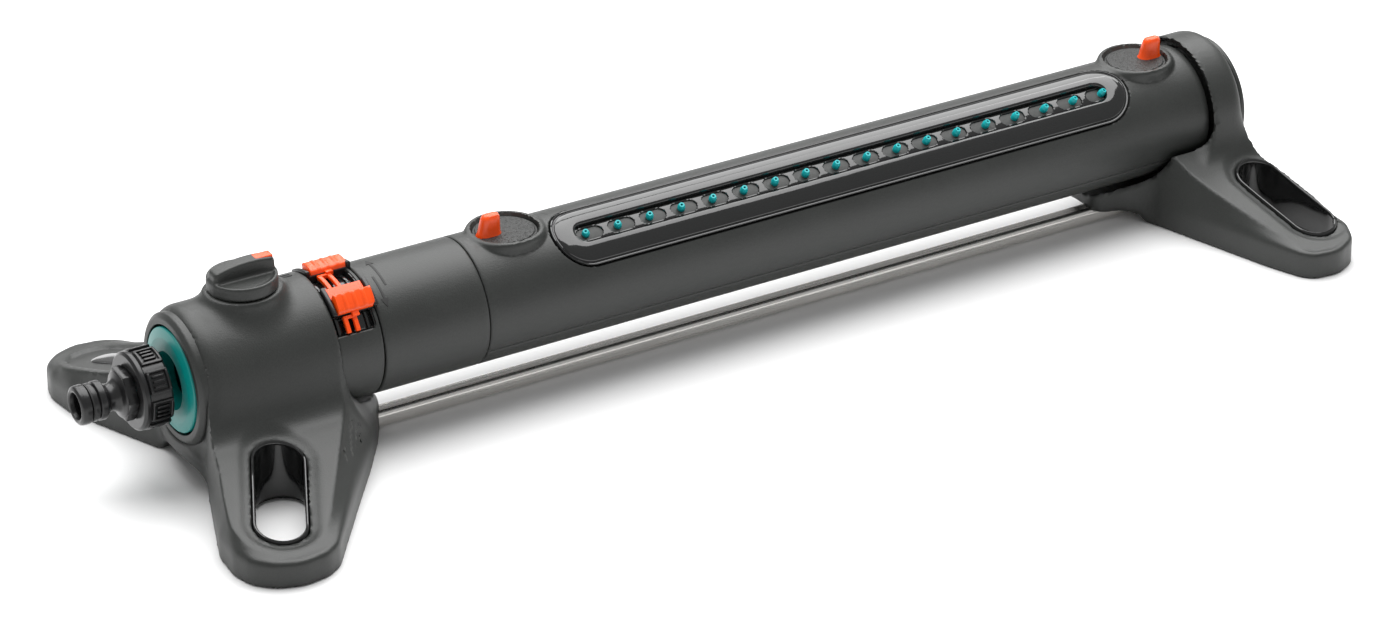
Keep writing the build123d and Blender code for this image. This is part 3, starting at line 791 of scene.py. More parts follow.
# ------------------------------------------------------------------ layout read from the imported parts
@dataclass(frozen=True)
class Layout:
    """Stations along the tube in millimetres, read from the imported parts' boxes."""

    axis_z: float
    knob_x: float
    nipple_tip: float
    nut_x0: float
    nut_x1: float
    sleeve_x0: float
    tube_x0: float
    tube_x1: float
    cap_x1: float
    saddle_x1: float
    wing_x0: float
    dial_left: float
    dial_right: float
    panel_x0: float
    panel_x1: float

    @staticmethod
    def read() -> "Layout":
        """Reads the boxes.

        Returns:
            The layout.
        """
        def box(node: str) -> Tuple[Vector, Vector]:
            """A node's box in millimetres."""
            low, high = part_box(node)
            return low * 1000, high * 1000
        cap, knob, nut = box("end_cap"), box("flow_knob"), box("union_nut")
        shell, panel = box("tube_upper_shell"), box("nozzle_panel")
        left, right = box("zoom_dial_left"), box("zoom_dial_right")
        return Layout(
            axis_z=(cap[0].z + cap[1].z) / 2, knob_x=(knob[0].x + knob[1].x) / 2,
            nipple_tip=box("hose_nipple")[0].x, nut_x0=nut[0].x, nut_x1=nut[1].x,
            sleeve_x0=box("drive_sleeve")[0].x, tube_x0=shell[0].x, tube_x1=shell[1].x, cap_x1=cap[1].x,
            saddle_x1=box("inlet_stand")[1].x, wing_x0=box("end_stand")[0].x,
            dial_left=(left[0].x + left[1].x) / 2, dial_right=(right[0].x + right[1].x) / 2,
            panel_x0=panel[0].x, panel_x1=panel[1].x)

    @property
    def ground(self) -> float:
        """Height of the ground below the axis."""
        return -self.axis_z

    @property
    def housing_x0(self) -> float:
        """Open end of the inlet barrel."""
        return self.knob_x - 30.5

    @property
    def housing_x1(self) -> float:
        """End of the inlet barrel at the collar."""
        return self.sleeve_x0 - 20.2

    @property
    def hub_x0(self) -> float:
        """Start of the end stand's ring."""
        return self.tube_x1 + 1.1

    @property
    def hub_x1(self) -> float:
        """End of the end stand's ring."""
        return self.cap_x1 - 2.4


PLACE = Layout.read()
REST_TILT = 30.0
TUBE_R = 27.0


def make_piece(name: str, surface: Surface, finish: Union[Moulded, Drawn], body: str,
               replaces: Sequence[str] = (), sharp: float = 38.0) -> bpy.types.Object:
    """Puts a surface into the scene as a piece that rides on a body.

    Args:
        name: the piece's name.
        surface: its skin in millimetres in the axis frame.
        finish: its material.
        body: the body it rides on.
        replaces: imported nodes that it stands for.
        sharp: edges steeper than this many degrees stay crisp.

    Returns:
        The object.
    """
    points = (surface.points + np.array([0, 0, PLACE.axis_z])) / 1000.0
    mesh = bpy.data.meshes.new(name)
    mesh.from_pydata(points.tolist(), [], surface.faces.tolist())
    mesh.validate()
    work = bmesh.new()
    work.from_mesh(mesh)
    bmesh.ops.remove_doubles(work, verts=work.verts, dist=2e-6)
    bmesh.ops.dissolve_degenerate(work, edges=work.edges, dist=1e-7)
    bmesh.ops.recalc_face_normals(work, faces=work.faces)
    work.to_mesh(mesh)
    work.free()
    mesh.shade_smooth()
    mesh.set_sharp_from_angle(angle=math.radians(sharp))
    obj = bpy.data.objects.new(name, mesh)
    bpy.context.scene.collection.objects.link(obj)
    mesh.materials.append(finish.material())
    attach(obj, body)
    if replaces:
        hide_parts(*replaces)
    LOG.info("%s: %d faces on %s", name, len(mesh.polygons), body)
    return obj


def dress(finish: Union[Moulded, Drawn], *nodes: str) -> None:
    """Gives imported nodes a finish.

    Args:
        finish: the material.
        nodes: their names.
    """
    for node in nodes:
        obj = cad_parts[node]
        obj.data.materials.clear()
        obj.data.materials.append(finish.material())
        LOG.info("%s keeps its packed shape", node)


# ------------------------------------------------------------------ stands
@dataclass
class StandForm:
    """Shape shared by both stands; x is measured from the barrel's middle.

    The plan outline is the foot print of the front half, the crease line is where the top
    face turns down into the skirt. Both are mirrored for the back half.
    """

    x0: float
    outline: List[Tuple[float, float]]
    crease: Optional[List[Tuple[float, float]]]
    slot: Tuple[float, float, float, float, float]
    ring_x0: float
    ring_x1: float
    ring_r: float
    blend: float
    skirt_top: float = 11.3
    inset: float = 4.4
    wall: float = 3.0
    slot_half: float = 11.0
    rear_slot: bool = True
    crest: Tuple[Tuple[float, float], ...] = (
        (0, 4.0), (-16, 1.0), (-24, -5.0), (-31, -10.6), (-38, -14.4), (-48, -17.8), (-60, -21.2), (-76, -25.3),
        (-90, -29), (-101, -31.5), (-112, -33.5))

    def full(self, half: List[Tuple[float, float]]) -> Array:
        """Front half and its mirror image as one closed, rounded outline."""
        front = np.array(half, float)
        back = front[::-1] * np.array([1, -1])
        back = back[np.abs(back[:, 1]) > 0.5]
        shape = np.vstack([front, back])
        shape[:, 0] += self.x0
        return eased(shape, 14.0, 5, closed=True)

    def crest_height(self, y: Array) -> Array:
        """Height of the top face along y."""
        line = eased(self.crest[::-1], 30.0, 9)
        return np.interp(-np.abs(y), line[:, 0], line[:, 1])

    def slot_distance(self, x: Array, y: Array, half_wide: float, shrink: float = 0.0) -> Array:
        """Distance to the hand hole's outline, negative inside.

        Args:
            x: along the axis.
            y: front to back; the back half is mirrored.
            half_wide: half the hole's width.
            shrink: taken off both ends.

        Returns:
            The distances.
        """
        cx, cy, dx, dy, length = self.slot
        px, py = x - (self.x0 + cx), -np.abs(y) - cy
        half = length / 2 - half_wide - shrink
        along = np.clip(px * dx + py * dy, -half, half)
        return np.hypot(px - along * dx, py - along * dy) - half_wide

    def top(self, x: Array, y: Array) -> Tuple[Array, Array]:
        """Height of the leg's upper skin: the crest inside the crease, ruled down to the skirt outside.

        Args:
            x: along the axis.
            y: front to back.

        Returns:
            The heights, and the distances to the foot's outline.
        """
        d_out = outline_distance(x, y, self.full(self.outline))
        if self.crease is None:
            d_crease = d_out + self.inset
        else:
            d_crease = np.maximum(outline_distance(x, y, self.full(self.crease)), d_out + 1.6)
        share = np.clip(d_crease / np.maximum(d_crease - d_out, 0.5), 0, 1)
        height = self.crest_height(y) * (1 - share) + (PLACE.ground + self.skirt_top) * share
        front = y < 0 if not self.rear_slot else np.ones_like(y, bool)
        dish = 1.5 * (1 - ramp(self.slot_distance(x, y, self.slot_half), 1.2, 6.0))
        plate = 1.3 * (1 - ramp(d_crease, -4.6, -3.6)) * ramp(np.abs(y), 33.0, 36.0)
        return height - np.where(front, dish, 0 if self.rear_slot else plate), d_out

    def leg(self, x: Array, y: Array, z: Array) -> Array:
        """Field of the legs: inside the outline and below the upper skin.

        Args:
            x: along the axis.
            y: front to back.
            z: height.

        Returns:
            The field, negative inside.
        """
        height, d_out = self.top(x, y)
        top = (z - height) * 0.8
        body = smooth_max(d_out, top, 2.2)
        hollow = smooth_max(d_out + self.wall, top + self.wall, 2.0)
        above_skirt = z - PLACE.ground - self.skirt_top
        hollow = smooth_max(hollow, d_out + self.wall + 0.3 * above_skirt, 1.0)
        hollow = smooth_max(hollow, 31.0 - np.abs(y), 2.0)
        hollow = smooth_max(hollow, 32.4 - np.hypot(y, z), 2.0)
        around = self.slot_distance(x, y, self.slot_half) - 2.2
        if not self.rear_slot:
            around = np.where(y > 0, 50.0, around)
        hollow = smooth_max(hollow, -around, 1.0)
        body = smooth_max(body, -hollow, 1.0)
        hole = self.slot_distance(x, y, self.slot_half + 0.15)
        if not self.rear_slot:
            hole = np.where(y > 0, 50.0, hole)
        body = smooth_max(body, -hole, 0.6)
        return np.maximum(body, PLACE.ground - z)

    def liner(self, side: int) -> Surface:
        """Glossy sleeve of a hand hole: a rounded lip carried round the hole, following the top face.

        Args:
            side: -1 for the front foot, 1 for the back foot.

        Returns:
            The sleeve.
        """
        cx, cy, dx, dy, length = self.slot
        rings = [(-0.1, -9.0), (-0.1, -0.8), (-0.1, 0.2), (0.1, 0.7), (0.5, 0.95), (0.9, 0.8), (1.15, 0.3), (1.3, -1.0),
                 (1.5, -9.0)]
        half_long, half_wide = length / 2 - 1.4, self.slot_half - 1.4
        flat = oval_stack(half_long, half_wide, [(o, h) for o, h in rings], 128, closed=True)

        def onto(p: Array) -> Array:
            """Turns the sleeve to the hole's direction and lets it follow the top face."""
            x = self.x0 + cx + p[:, 0] * dx - p[:, 1] * dy
            y = cy + p[:, 0] * dy + p[:, 1] * dx
            lift = self.crest_height(y) - 1.5
            z = np.where(p[:, 2] < -5, PLACE.ground + 2.4, lift + p[:, 2])
            return np.stack([x, y * (-side), z], -1)
        return flat.moved(onto)


@dataclass
class InletStand:
    """Barrel with the valve, its two legs and the saddle under the tube."""

    barrel_r: float = 29.2
    pedestal_r: float = 15.6
    pedestal_top: float = 32.2
    step: float = 1.25
    form: StandForm = field(init=False)

    def __post_init__(self) -> None:
        """Sets up the legs' form."""
        self.form = StandForm(
            x0=PLACE.knob_x,
            outline=[(-30.1, -21.7), (-39.1, -44.8), (-48.4, -69.4), (-49.8, -84.5), (-47.4, -95.1), (-40, -102.2),
                     (-30, -106), (-18.1, -104.3), (-11.2, -99.5), (-1.9, -86.8), (19.6, -57.5), (34.5, -37.6),
                     (46.6, -20.2), (58.5, 0)],
            crease=[(-30.5, -18), (-32.1, -28), (-33.2, -35), (-36.3, -46.6), (-41.1, -59.4), (-46.5, -77), (-45, -89),
                    (-38.4, -98), (-26.5, -100), (-18, -98), (-6.4, -83), (6.7, -63.4), (18.6, -45.2), (25.6, -34.5),
                    (29, -10)],
            slot=(-19.5, -65.5, -0.436, -0.90, 57.0), ring_x0=PLACE.housing_x0, ring_x1=PLACE.housing_x1,
            ring_r=self.barrel_r, blend=14.0, rear_slot=False)

    def solid(self, x: Array, y: Array, z: Array) -> Array:
        """Field of the stand: legs blended into the barrel, the knob's seat on top, less its bores.

        Args:
            x: along the axis.
            y: front to back.
            z: height.

        Returns:
            The field, negative inside.
        """
        r = np.hypot(y, z)
        f = self.form
        middle, half = (f.ring_x0 + f.ring_x1) / 2, (f.ring_x1 - f.ring_x0) / 2
        barrel = smooth_max(r - self.barrel_r, middle - half - x, 7.0)
        barrel = smooth_max(barrel, x - middle - half, 1.2)
        leg = f.leg(x, y, z)
        leg = np.maximum(leg, np.minimum(28.9 - r, x - f.ring_x1 + 0.01))
        body = smooth_min(leg, barrel, f.blend)
        seat = smooth_max(np.hypot(x - PLACE.knob_x, y) - self.pedestal_r, np.abs(z - 24) - (self.pedestal_top - 24), 1.2)
        body = smooth_min(body, seat, 7.0)
        clear = np.maximum(r - 28.4, f.ring_x1 - x)
        body = np.maximum(body, -clear)
        mouth = np.maximum(r - 26.0, x - (f.ring_x0 + 5.0))
        body = smooth_max(body, -mouth, 1.0)
        body = np.maximum(body, -(np.maximum(r - 24.0, np.maximum(f.ring_x0 - x, x - f.ring_x1 - 1))))
        arch = np.maximum(np.sqrt((y / 22.0) ** 2 + ((z - PLACE.ground) / 9.0) ** 2) * 9.0 - 9.0, x - PLACE.knob_x - 20)
        body = smooth_max(body, -arch, 1.5)
        return body

    def mouth(self) -> Surface:
        """Rounded rim round the filter ring, stepped out of the barrel's end."""
        x = self.form.ring_x0
        return lathe([(x - 2.7, 22.7), (x - 2.7, 25.4), (x - 1.0, 27.3), (x + 5, 27.3), (x + 5, 22.7)],
                     [0.5, 1.6, 1.6, 0.4, 0.4], 160)

    def build(self) -> None:
        """Makes the stand, its liner and the blank badge of the back foot."""
        make_piece("barrel_rim", self.mouth(), FINISH.shell, "frame")
        ticks = [stroke((PLACE.knob_x + 19.8, -13.0 * k), (PLACE.knob_x + 24.2, -13.0 * k), 1.0, 1.0, self.barrel_r + 0.05)
                 for k in (0.8, 1.15)]
        make_piece("knob_ticks", joined(ticks), FINISH.print, "frame")
        low = (PLACE.knob_x - 52.5, -108.5, PLACE.ground - 2.5)
        high = (PLACE.knob_x + 61.5, 108.5, 36.0)
        make_piece("inlet_stand_body", net_surface(self.solid, low, high, self.step), FINISH.shell, "frame",
                   ["inlet_stand"], 60)
        make_piece("inlet_slot_sleeve", self.form.liner(-1), FINISH.gloss, "frame", ["inlet_slot_liner"])
        make_piece("foot_badge", self.badge(), FINISH.gloss, "frame")

    def badge(self) -> Surface:
        """Blank oval inlay on the back foot: an oval plate laid on the sloping top face."""
        f = self.form
        cx, cy, dx, dy, _ = f.slot
        plate = oval_stack(19.0, 7.2, [(-7.2, 0.55), (-2.0, 0.5), (-0.5, 0.4), (0, 0.1), (0, -0.8), (-7.2, -0.8)], 96)

        def onto(p: Array) -> Array:
            """Lays the plate on the foot."""
            x = f.x0 + cx - 1.5 + p[:, 0] * dx - p[:, 1] * dy
            y = cy - 2.0 + p[:, 0] * dy + p[:, 1] * dx
            return np.stack([x, -y, f.crest_height(y) - 1.3 + p[:, 2]], -1)
        return plate.moved(onto)


@dataclass
class EndStand:
    """Ring that carries the tube's far end, with its two legs."""

    hub_r: float = 30.5
    step: float = 1.2
    form: StandForm = field(init=False)

    def __post_init__(self) -> None:
        """Sets up the legs' form."""
        self.form = StandForm(
            x0=PLACE.hub_x1 - 10.5,
            outline=[(-57.6, 0), (-57.4, -12.4), (-44.4, -15), (-38.4, -18), (-34, -22.7), (-30.8, -32.7), (-23.5, -58.3),
                     (-16.3, -83.6), (-10.3, -99.6), (-6, -104.2), (5.9, -105.7), (18, -99.6), (25, -86), (24.6, -66),
                     (21.6, -46), (14.6, -28), (12.0, -10)],
            crease=None, slot=(7.7, -64.5, 0.134, -0.991, 54.0), ring_x0=PLACE.hub_x0 - 1.0, ring_x1=PLACE.hub_x1,
            ring_r=self.hub_r, blend=11.0, skirt_top=12.5, inset=4.2)

    def solid(self, x: Array, y: Array, z: Array) -> Array:
        """Field of the stand: legs and wing blended into the ring, less the tube's clearance.

        Args:
            x: along the axis.
            y: front to back.
            z: height.

        Returns:
            The field, negative inside.
        """
        r = np.hypot(y, z)
        f = self.form
        middle = (f.ring_x0 + f.ring_x1) / 2
        half = (f.ring_x1 - f.ring_x0) / 2
        hub = smooth_max(r - self.hub_r, middle - half - x, 0.8)
        hub = smooth_max(hub, x - middle - half, 7.0)
        leg = f.leg(x, y, z)
        body = smooth_min(leg, hub, f.blend)
        flare = 28.3 + np.clip(f.ring_x0 + 2.2 - x, 0, 1.9) * 0.8
        body = smooth_max(body, -np.maximum(r - flare, x - f.ring_x0 - 3.2), 0.5)
        body = smooth_max(body, -smooth_max(r - 28.4, x - f.ring_x0, 0.3), 0.6)
        body = np.maximum(body, -(np.maximum(r - 25.0, np.abs(x - f.ring_x0) - 8)))
        arch = np.sqrt((y / 20.0) ** 2 + ((z - PLACE.ground) / 8.0) ** 2) * 8.0 - 8.0
        return smooth_max(body, -arch, 1.5)

    def build(self) -> None:
        """Makes the stand and its sleeves."""
        x0 = self.form.x0
        low, high = (x0 - 60, -108.5, PLACE.ground - 2.5), (x0 + 28.5, 108.5, 33.0)
        make_piece("end_stand_body", net_surface(self.solid, low, high, self.step), FINISH.shell, "frame",
                   ["end_stand"], 60)
        make_piece("end_slot_sleeves", self.form.liner(-1) + self.form.liner(1), FINISH.gloss, "frame",
                   ["end_slot_liners"])


# ------------------------------------------------------------------ the swinging tube
@dataclass
class SwingTube:
    """Two half shells, the glossy nozzle panel and its tiled channel, built at rest."""

    radius: float = TUBE_R
    panel_half: float = 15.2
    channel_half: float = 4.6
    pocket_r: float = 13.75
    boss_r: float = 15.4
    boss_z: float = 27.6
    jets: int = 18

    def across(self, phi: Array) -> Array:
        """Arc length from the panel's middle line."""
        return np.radians(phi - REST_TILT) * self.radius

    def panel_distance(self, x: Array, phi: Array) -> Array:
        """Distance to the panel's outline in the unrolled tube."""
        middle = (PLACE.panel_x0 + PLACE.panel_x1) / 2
        half = (PLACE.panel_x1 - PLACE.panel_x0) / 2 - self.panel_half
        along = np.maximum(np.abs(x - middle) - half, 0)
        return np.hypot(along, self.across(phi)) - self.panel_half

    def shell(self, phi0: float, phi1: float, fine: bool) -> Surface:
        """A half shell: radius field with the panel's seat, the dial pockets and soft ends.

        Args:
            phi0: first angle.
            phi1: last angle.
            fine: the shell has the panel and the dials.

        Returns:
            The closed skin.
        """
        ends = [PLACE.tube_x0, PLACE.tube_x0 + 0.25, PLACE.tube_x0 + 0.7]
        tail = [PLACE.tube_x1 - 0.7, PLACE.tube_x1 - 0.25, PLACE.tube_x1]
        if fine:
            left = np.arange(PLACE.dial_left - 19, PLACE.panel_x0 + 18, 0.6)
            right = np.arange(PLACE.panel_x1 - 18, PLACE.dial_right + 19, 0.6)
            mid = np.linspace(left[-1] + 2, right[0] - 2, 60)
            x = np.concatenate([ends, left, mid, right, tail])
            phi = np.concatenate([[phi0, phi0 + 0.4, phi0 + 1.2], np.arange(phi0 + 4, -44, 4.0), np.arange(-44, 66, 1.2),
                                  np.arange(68, phi1 - 3, 4.0), [phi1 - 1.2, phi1 - 0.4, phi1]])
        else:
            x = np.concatenate([ends, np.linspace(PLACE.tube_x0 + 3, PLACE.tube_x1 - 3, 30), tail])
            phi = np.concatenate([[phi0, phi0 + 0.4, phi0 + 1.2], np.arange(phi0 + 4, phi1 - 3, 3.0),
                                  [phi1 - 1.2, phi1 - 0.4, phi1]])
        xx, pp = x[:, None], phi[None, :]
        edge = np.minimum(xx - PLACE.tube_x0, PLACE.tube_x1 - xx)
        side = np.minimum(pp - phi0, phi1 - pp)
        outer = self.radius - 0.5 * (1 - np.clip(edge / 0.7, 0, 1)) ** 2 - 0.45 * (1 - np.clip(side / 1.2, 0, 1)) ** 2
        if fine:
            d = self.panel_distance(xx, pp)
            outer = outer - 2.4 * (1 - ramp(d, 0.0, 0.5))
            up = np.maximum(np.cos(np.radians(pp)), 0.4)
            for dial in (PLACE.dial_left, PLACE.dial_right):
                plan = np.hypot(xx - dial, self.boss_z * np.tan(np.radians(pp))) + 40.0 * (np.abs(pp) > 55)
                boss = self.boss_z / up - 16.0 * ramp(plan, self.boss_r - 0.2, self.boss_r + 9.0)
                outer = smooth_max(outer, np.where(plan < 30, boss, 0.0), 1.2)
                inside = 1 - ramp(plan, self.pocket_r - 0.15, self.pocket_r + 0.3)
                outer = outer * (1 - inside) + np.minimum(outer, 22.4 / up) * inside
        inner = np.minimum(outer - 0.9, self.radius - 2.3)
        return tube_skin(x, phi, outer, inner, False)

    def panel(self) -> Surface:
        """Glossy frame of the jets: a profile carried round an oval, bent round the tube."""
        half = (PLACE.panel_x1 - PLACE.panel_x0) / 2
        middle = (PLACE.panel_x0 + PLACE.panel_x1) / 2
        inset = self.panel_half - self.channel_half
        base = self.radius
        rings = [(-0.15, base - 2.3), (-0.15, base - 0.2), (-0.35, base + 0.25), (-0.75, base + 0.4), (-1.1, base + 0.2),
                 (-1.3, base - 0.1), (-1.6, base - 0.1), (-1.9, base + 0.3), (-2.3, base + 0.5), (-4.0, base + 0.52),
                 (-6.5, base + 0.5), (-inset + 1.2, base + 0.4), (-inset + 0.6, base + 0.25), (-inset + 0.15, base - 0.25),
                 (-inset, base - 0.9), (-inset, base - 2.4)]
        flat = oval_stack(half, self.panel_half, rings, 256, closed=True)
        def onto(p: Array) -> Array:
            """x, arc in degrees, radius."""
            return np.stack([p[:, 0] + middle, REST_TILT + np.degrees(p[:, 1] / self.radius), p[:, 2]], -1)
        return wrapped(flat.moved(onto))

    def jet_x(self, index: int) -> float:
        """Middle of a jet's slot along the tube."""
        low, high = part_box(f"nozzle_{index:02d}")
        return float(low.x + high.x) * 500

    def tiles(self) -> Surface:
        """Channel floor: a radius field, raised between the oval slots of the jets."""
        x = np.arange(PLACE.panel_x0 + 10.0, PLACE.panel_x1 - 9.5, 0.4)
        s = np.linspace(-self.channel_half - 0.2, self.channel_half + 0.2, 25)
        xx, ss = x[:, None], s[None, :]
        d = np.full((len(x), len(s)), 50.0)
        for index in range(1, self.jets + 1):
            along = np.maximum(np.abs(xx - self.jet_x(index)) - 2.9, 0)
            d = np.minimum(d, np.hypot(along, ss) - 2.75)
        crown = 0.25 * (1 - (ss / self.channel_half) ** 2)
        edge = 1 - ramp(np.abs(ss), self.channel_half - 0.9, self.channel_half - 0.2)
        outer = self.radius - 1.9 + crown - 1.9 * (1 - ramp(d, 0, 0.55)) - 0.9 * (1 - edge)
        phi = REST_TILT + np.degrees(s / self.radius)
        return tube_skin(x, phi, outer, np.full_like(outer, self.radius - 4.4), False)

    def build(self) -> None:
        """Makes the shells, the panel and the channel floor."""
        make_piece("tube_upper", self.shell(REST_TILT - 90, REST_TILT + 90, True), FINISH.shell, "tube",
                   ["tube_upper_shell"])
        make_piece("tube_lower", self.shell(REST_TILT + 90.35, REST_TILT + 269.65, False), FINISH.shell, "tube",
                   ["tube_lower_shell"])
        make_piece("jet_panel", self.panel(), FINISH.gloss, "tube", ["nozzle_panel"])
        make_piece("jet_channel", self.tiles(), FINISH.gloss, "tube")


@dataclass
class FanDial:
    """Dial that turns the jets of one half: crackled disc, orange thumb stud and its rim."""

    x: float
    node: str
    body: str
    lever: str
    way: int
    radius: float = 13.4
    top: float = 26.7

    def disc(self) -> Surface:
        """Turned disc with a rounded edge."""
        t = self.top
        return lathe([(t, 0), (t, self.radius - 1.3), (t - 0.6, self.radius - 0.9), (t - 0.6, self.radius),
                      (t - 3.2, self.radius), (t - 3.2, 0)], [0, 0.3, 0.3, 0.4, 0.3, 0], 128, closed=False)

    def stud(self) -> Surface:
        """Squat orange thumb stud, wider along the tube, leaning outwards."""
        t = self.top
        rings = [(-3.3, 9.3), (-2.4, 9.25), (-1.5, 8.8), (-0.95, 7.8), (-0.7, 6.5), (-0.35, 3.5), (0, 0.6), (0.5, -0.1),
                 (0.5, -1.0), (-3.3, -1.0)]
        flat = oval_stack(5.0, 3.3, rings, 64)

        def lean(p: Array) -> Array:
            """Leans the stud forward as it rises."""
            return p + np.stack([0.06 * p[:, 2], -0.10 * p[:, 2], 0 * p[:, 2]], -1)
        return shifted(flat.moved(lean), self.x + self.way * (self.radius - 5.9), 0, t)

    def marks(self) -> Surface:
        """Two spray marks in front of the dial: a wide fan outwards and a straight comb inwards."""
        lines: List[Surface] = []
        for offset, spread in ((7.5 * self.way - 1.5, 0.5), (-7.4 * self.way - 4.4, 0.0)):
            x = self.x + offset
            lines.append(stroke((x - 3.0, 15.2), (x + 3.0, 15.2), 0.8, 0.8, TUBE_R + 0.02))
            for k in range(-2, 3):
                lines.append(stroke((x + 1.15 * k, 16.6), (x + 1.15 * k + spread * 1.1 * k, 26.5 - spread * abs(k) * 1.6),
                                    0.6, 0.7, TUBE_R + 0.02))
        return joined(lines)

    def build(self) -> None:
        """Makes the dial, its stud and its marks."""
        make_piece(self.node + "_disc", shifted(upright(self.disc()), self.x), FINISH.dial, self.body, [self.node])
        make_piece(self.node + "_marks", self.marks(), FINISH.print, "tube")
        make_piece(self.lever + "_stud", self.stud(), FINISH.orange, self.body, [self.lever])


@dataclass
class Collar:
    """Fixed ring with the swing limit sliders."""

    window_phi: Tuple[float, float] = (-72.0, 63.0)
    window_x: Tuple[float, float] = (-3.0, 17.9)
    depth: float = 3.4

    def window(self, x: Array, phi: Array) -> Array:
        """Distance to the window's rounded outline in the unrolled ring."""
        cx = PLACE.housing_x1 + sum(self.window_x) / 2
        half_x = (self.window_x[1] - self.window_x[0]) / 2
        mid = sum(self.window_phi) / 2
        half_s = math.radians(self.window_phi[1] - self.window_phi[0]) / 2 * TUBE_R
        qx = np.abs(x - cx) - half_x + 1.8
        qs = np.abs(np.radians(phi - mid) * TUBE_R) - half_s + 1.8
        return np.hypot(np.maximum(qx, 0), np.maximum(qs, 0)) + np.minimum(np.maximum(qx, qs), 0) - 1.8

    def ring(self) -> Surface:
        """The ring: a radius field with the window sunk into it."""
        x0, x1 = PLACE.housing_x1 + 0.15, PLACE.sleeve_x0 - 0.6
        x = np.concatenate([[x0, x0 + 0.25, x0 + 0.7], np.arange(x0 + 1.2, x1 - 1, 0.4), [x1 - 0.7, x1 - 0.25, x1]])
        phi = np.concatenate([np.arange(-80, 70, 0.9), np.arange(70, 280, 3.0)])
        xx, pp = x[:, None], phi[None, :]
        edge = np.minimum(xx - x0, x1 - xx)
        outer = TUBE_R + 0.0 * pp - 0.5 * (1 - np.clip(edge / 0.7, 0, 1)) ** 2
        d = self.window(xx, pp)
        outer = outer - self.depth * (1 - ramp(d, -0.35, 0.15))
        return tube_skin(x, phi, outer, np.full_like(outer, TUBE_R - 4.6), True)

    def lining(self) -> Surface:
        """Glossy tray in the window, with two rails for the sliders."""
        x0 = PLACE.housing_x1 + 0.3
        x1 = PLACE.housing_x1 + self.window_x[1] - 0.15
        x = np.linspace(x0, x1, 60)
        phi = np.linspace(self.window_phi[0] + 0.6, self.window_phi[1] - 0.6, 150)
        xx, pp = x[:, None], phi[None, :]
        floor = TUBE_R - self.depth + 0.5
        mid = (x0 + x1) / 2
        rails = 1.1 * (1 - ramp(np.abs(np.abs(xx - mid) - 6.6), 0.5, 0.8))
        wall = (self.depth - 0.75) * (1 - ramp(-self.window(xx, pp), 0.5, 0.8))
        outer = floor + np.maximum(rails, wall) + 0 * pp
        return tube_skin(x, phi, outer, np.full_like(outer, TUBE_R - self.depth - 0.4), False)

    def clip(self, phi: float, name: str, body: str, nodes: List[str], tail: float) -> None:
        """One slider: black carriage with round cheeks, flat plate, folded thumb face, neck and two thin bands.

        Args:
            phi: its angle.
            name: start of the pieces' names.
            body: the body it rides on.
            nodes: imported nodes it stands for, clip first.
            tail: degrees from its middle to the bands' far end.
        """
        x = PLACE.housing_x1
        base = TUBE_R - 1.0
        orange = [rounded_block((x + 2.2, phi - 17.5, base + 1.5), (x + 18.2, phi - 6.0, base + 3.1), 0.4)]
        u = np.concatenate([[0, 0.02, 0.06], np.linspace(0.1, 0.9, 60), [0.94, 0.98, 1]])
        v = np.linspace(0, 1, 14)
        uu, vv = u[:, None], v[None, :]
        folds = 0.55 * np.maximum(np.cos((uu - 0.5) * 2 * np.pi * 4.0), 0) * np.sin(np.pi * np.clip(vv * 0.85 + 0.1, 0, 1))
        edge = np.minimum(np.minimum(uu, 1 - uu) * 16.5, np.minimum(vv, 1 - vv) * 7.0)
        top = base + 5.9 - 2.3 * vv + folds - 0.7 * (1 - np.clip(edge / 0.7, 0, 1)) ** 2
        xs = x + 3.0 + 16.6 * u
        face = tube_skin(xs, phi - 7.4 + 14.8 * v, top, base + 1.6 - 0.6 * vv + 0 * uu, False)
        make_piece(name + "_thumb", face, FINISH.orange, body, nodes[:1], 50)
        orange.append(rounded_block((x + 8.9, phi + 7.0, base + 0.6), (x + 12.1, phi + 11.5, base + 2.6), 0.5))
        for lane in (5.9, 10.0):
            orange.append(rounded_block((x + lane - 0.95, phi + 10.0, base - 0.3), (x + lane + 0.95, phi + tail, base + 1.5),
                                        0.45, 40))
        orange.append(rounded_block((x + 5.0, phi + 9.0, base - 0.1), (x + 11.0, phi + 12.0, base + 1.6), 0.5))
        make_piece(name + "_bands", wrapped(joined(orange)), FINISH.orange, body)
        black = [rounded_block((x + side - 1.1, phi - 18.5, base - 1.2), (x + side + 1.1, phi + 8.4, base + 4.0), 0.9, 16)
                 for side in (1.4, 19.6)]
        black.append(rounded_block((x + 1.4, phi - 18.0, base - 1.2), (x + 19.4, phi + 8.2, base + 1.8), 0.7, 16))
        make_piece(name + "_carriage", wrapped(joined(black)), FINISH.black, body, nodes[1:])

    def build(self) -> None:
        """Makes the ring, its tray and both sliders."""
        make_piece("limit_ring", self.ring(), FINISH.shell, "frame", ["collar_ring"])
        make_piece("limit_tray", self.lining(), FINISH.gloss, "frame")
        self.clip(38.0, "front_limit", "front_slider", ["slider_front_clip", "slider_front_carriage"], 24.0)
        self.clip(-13.0, "rear_limit", "rear_slider", ["slider_rear_clip", "slider_rear_carriage"], 33.0)


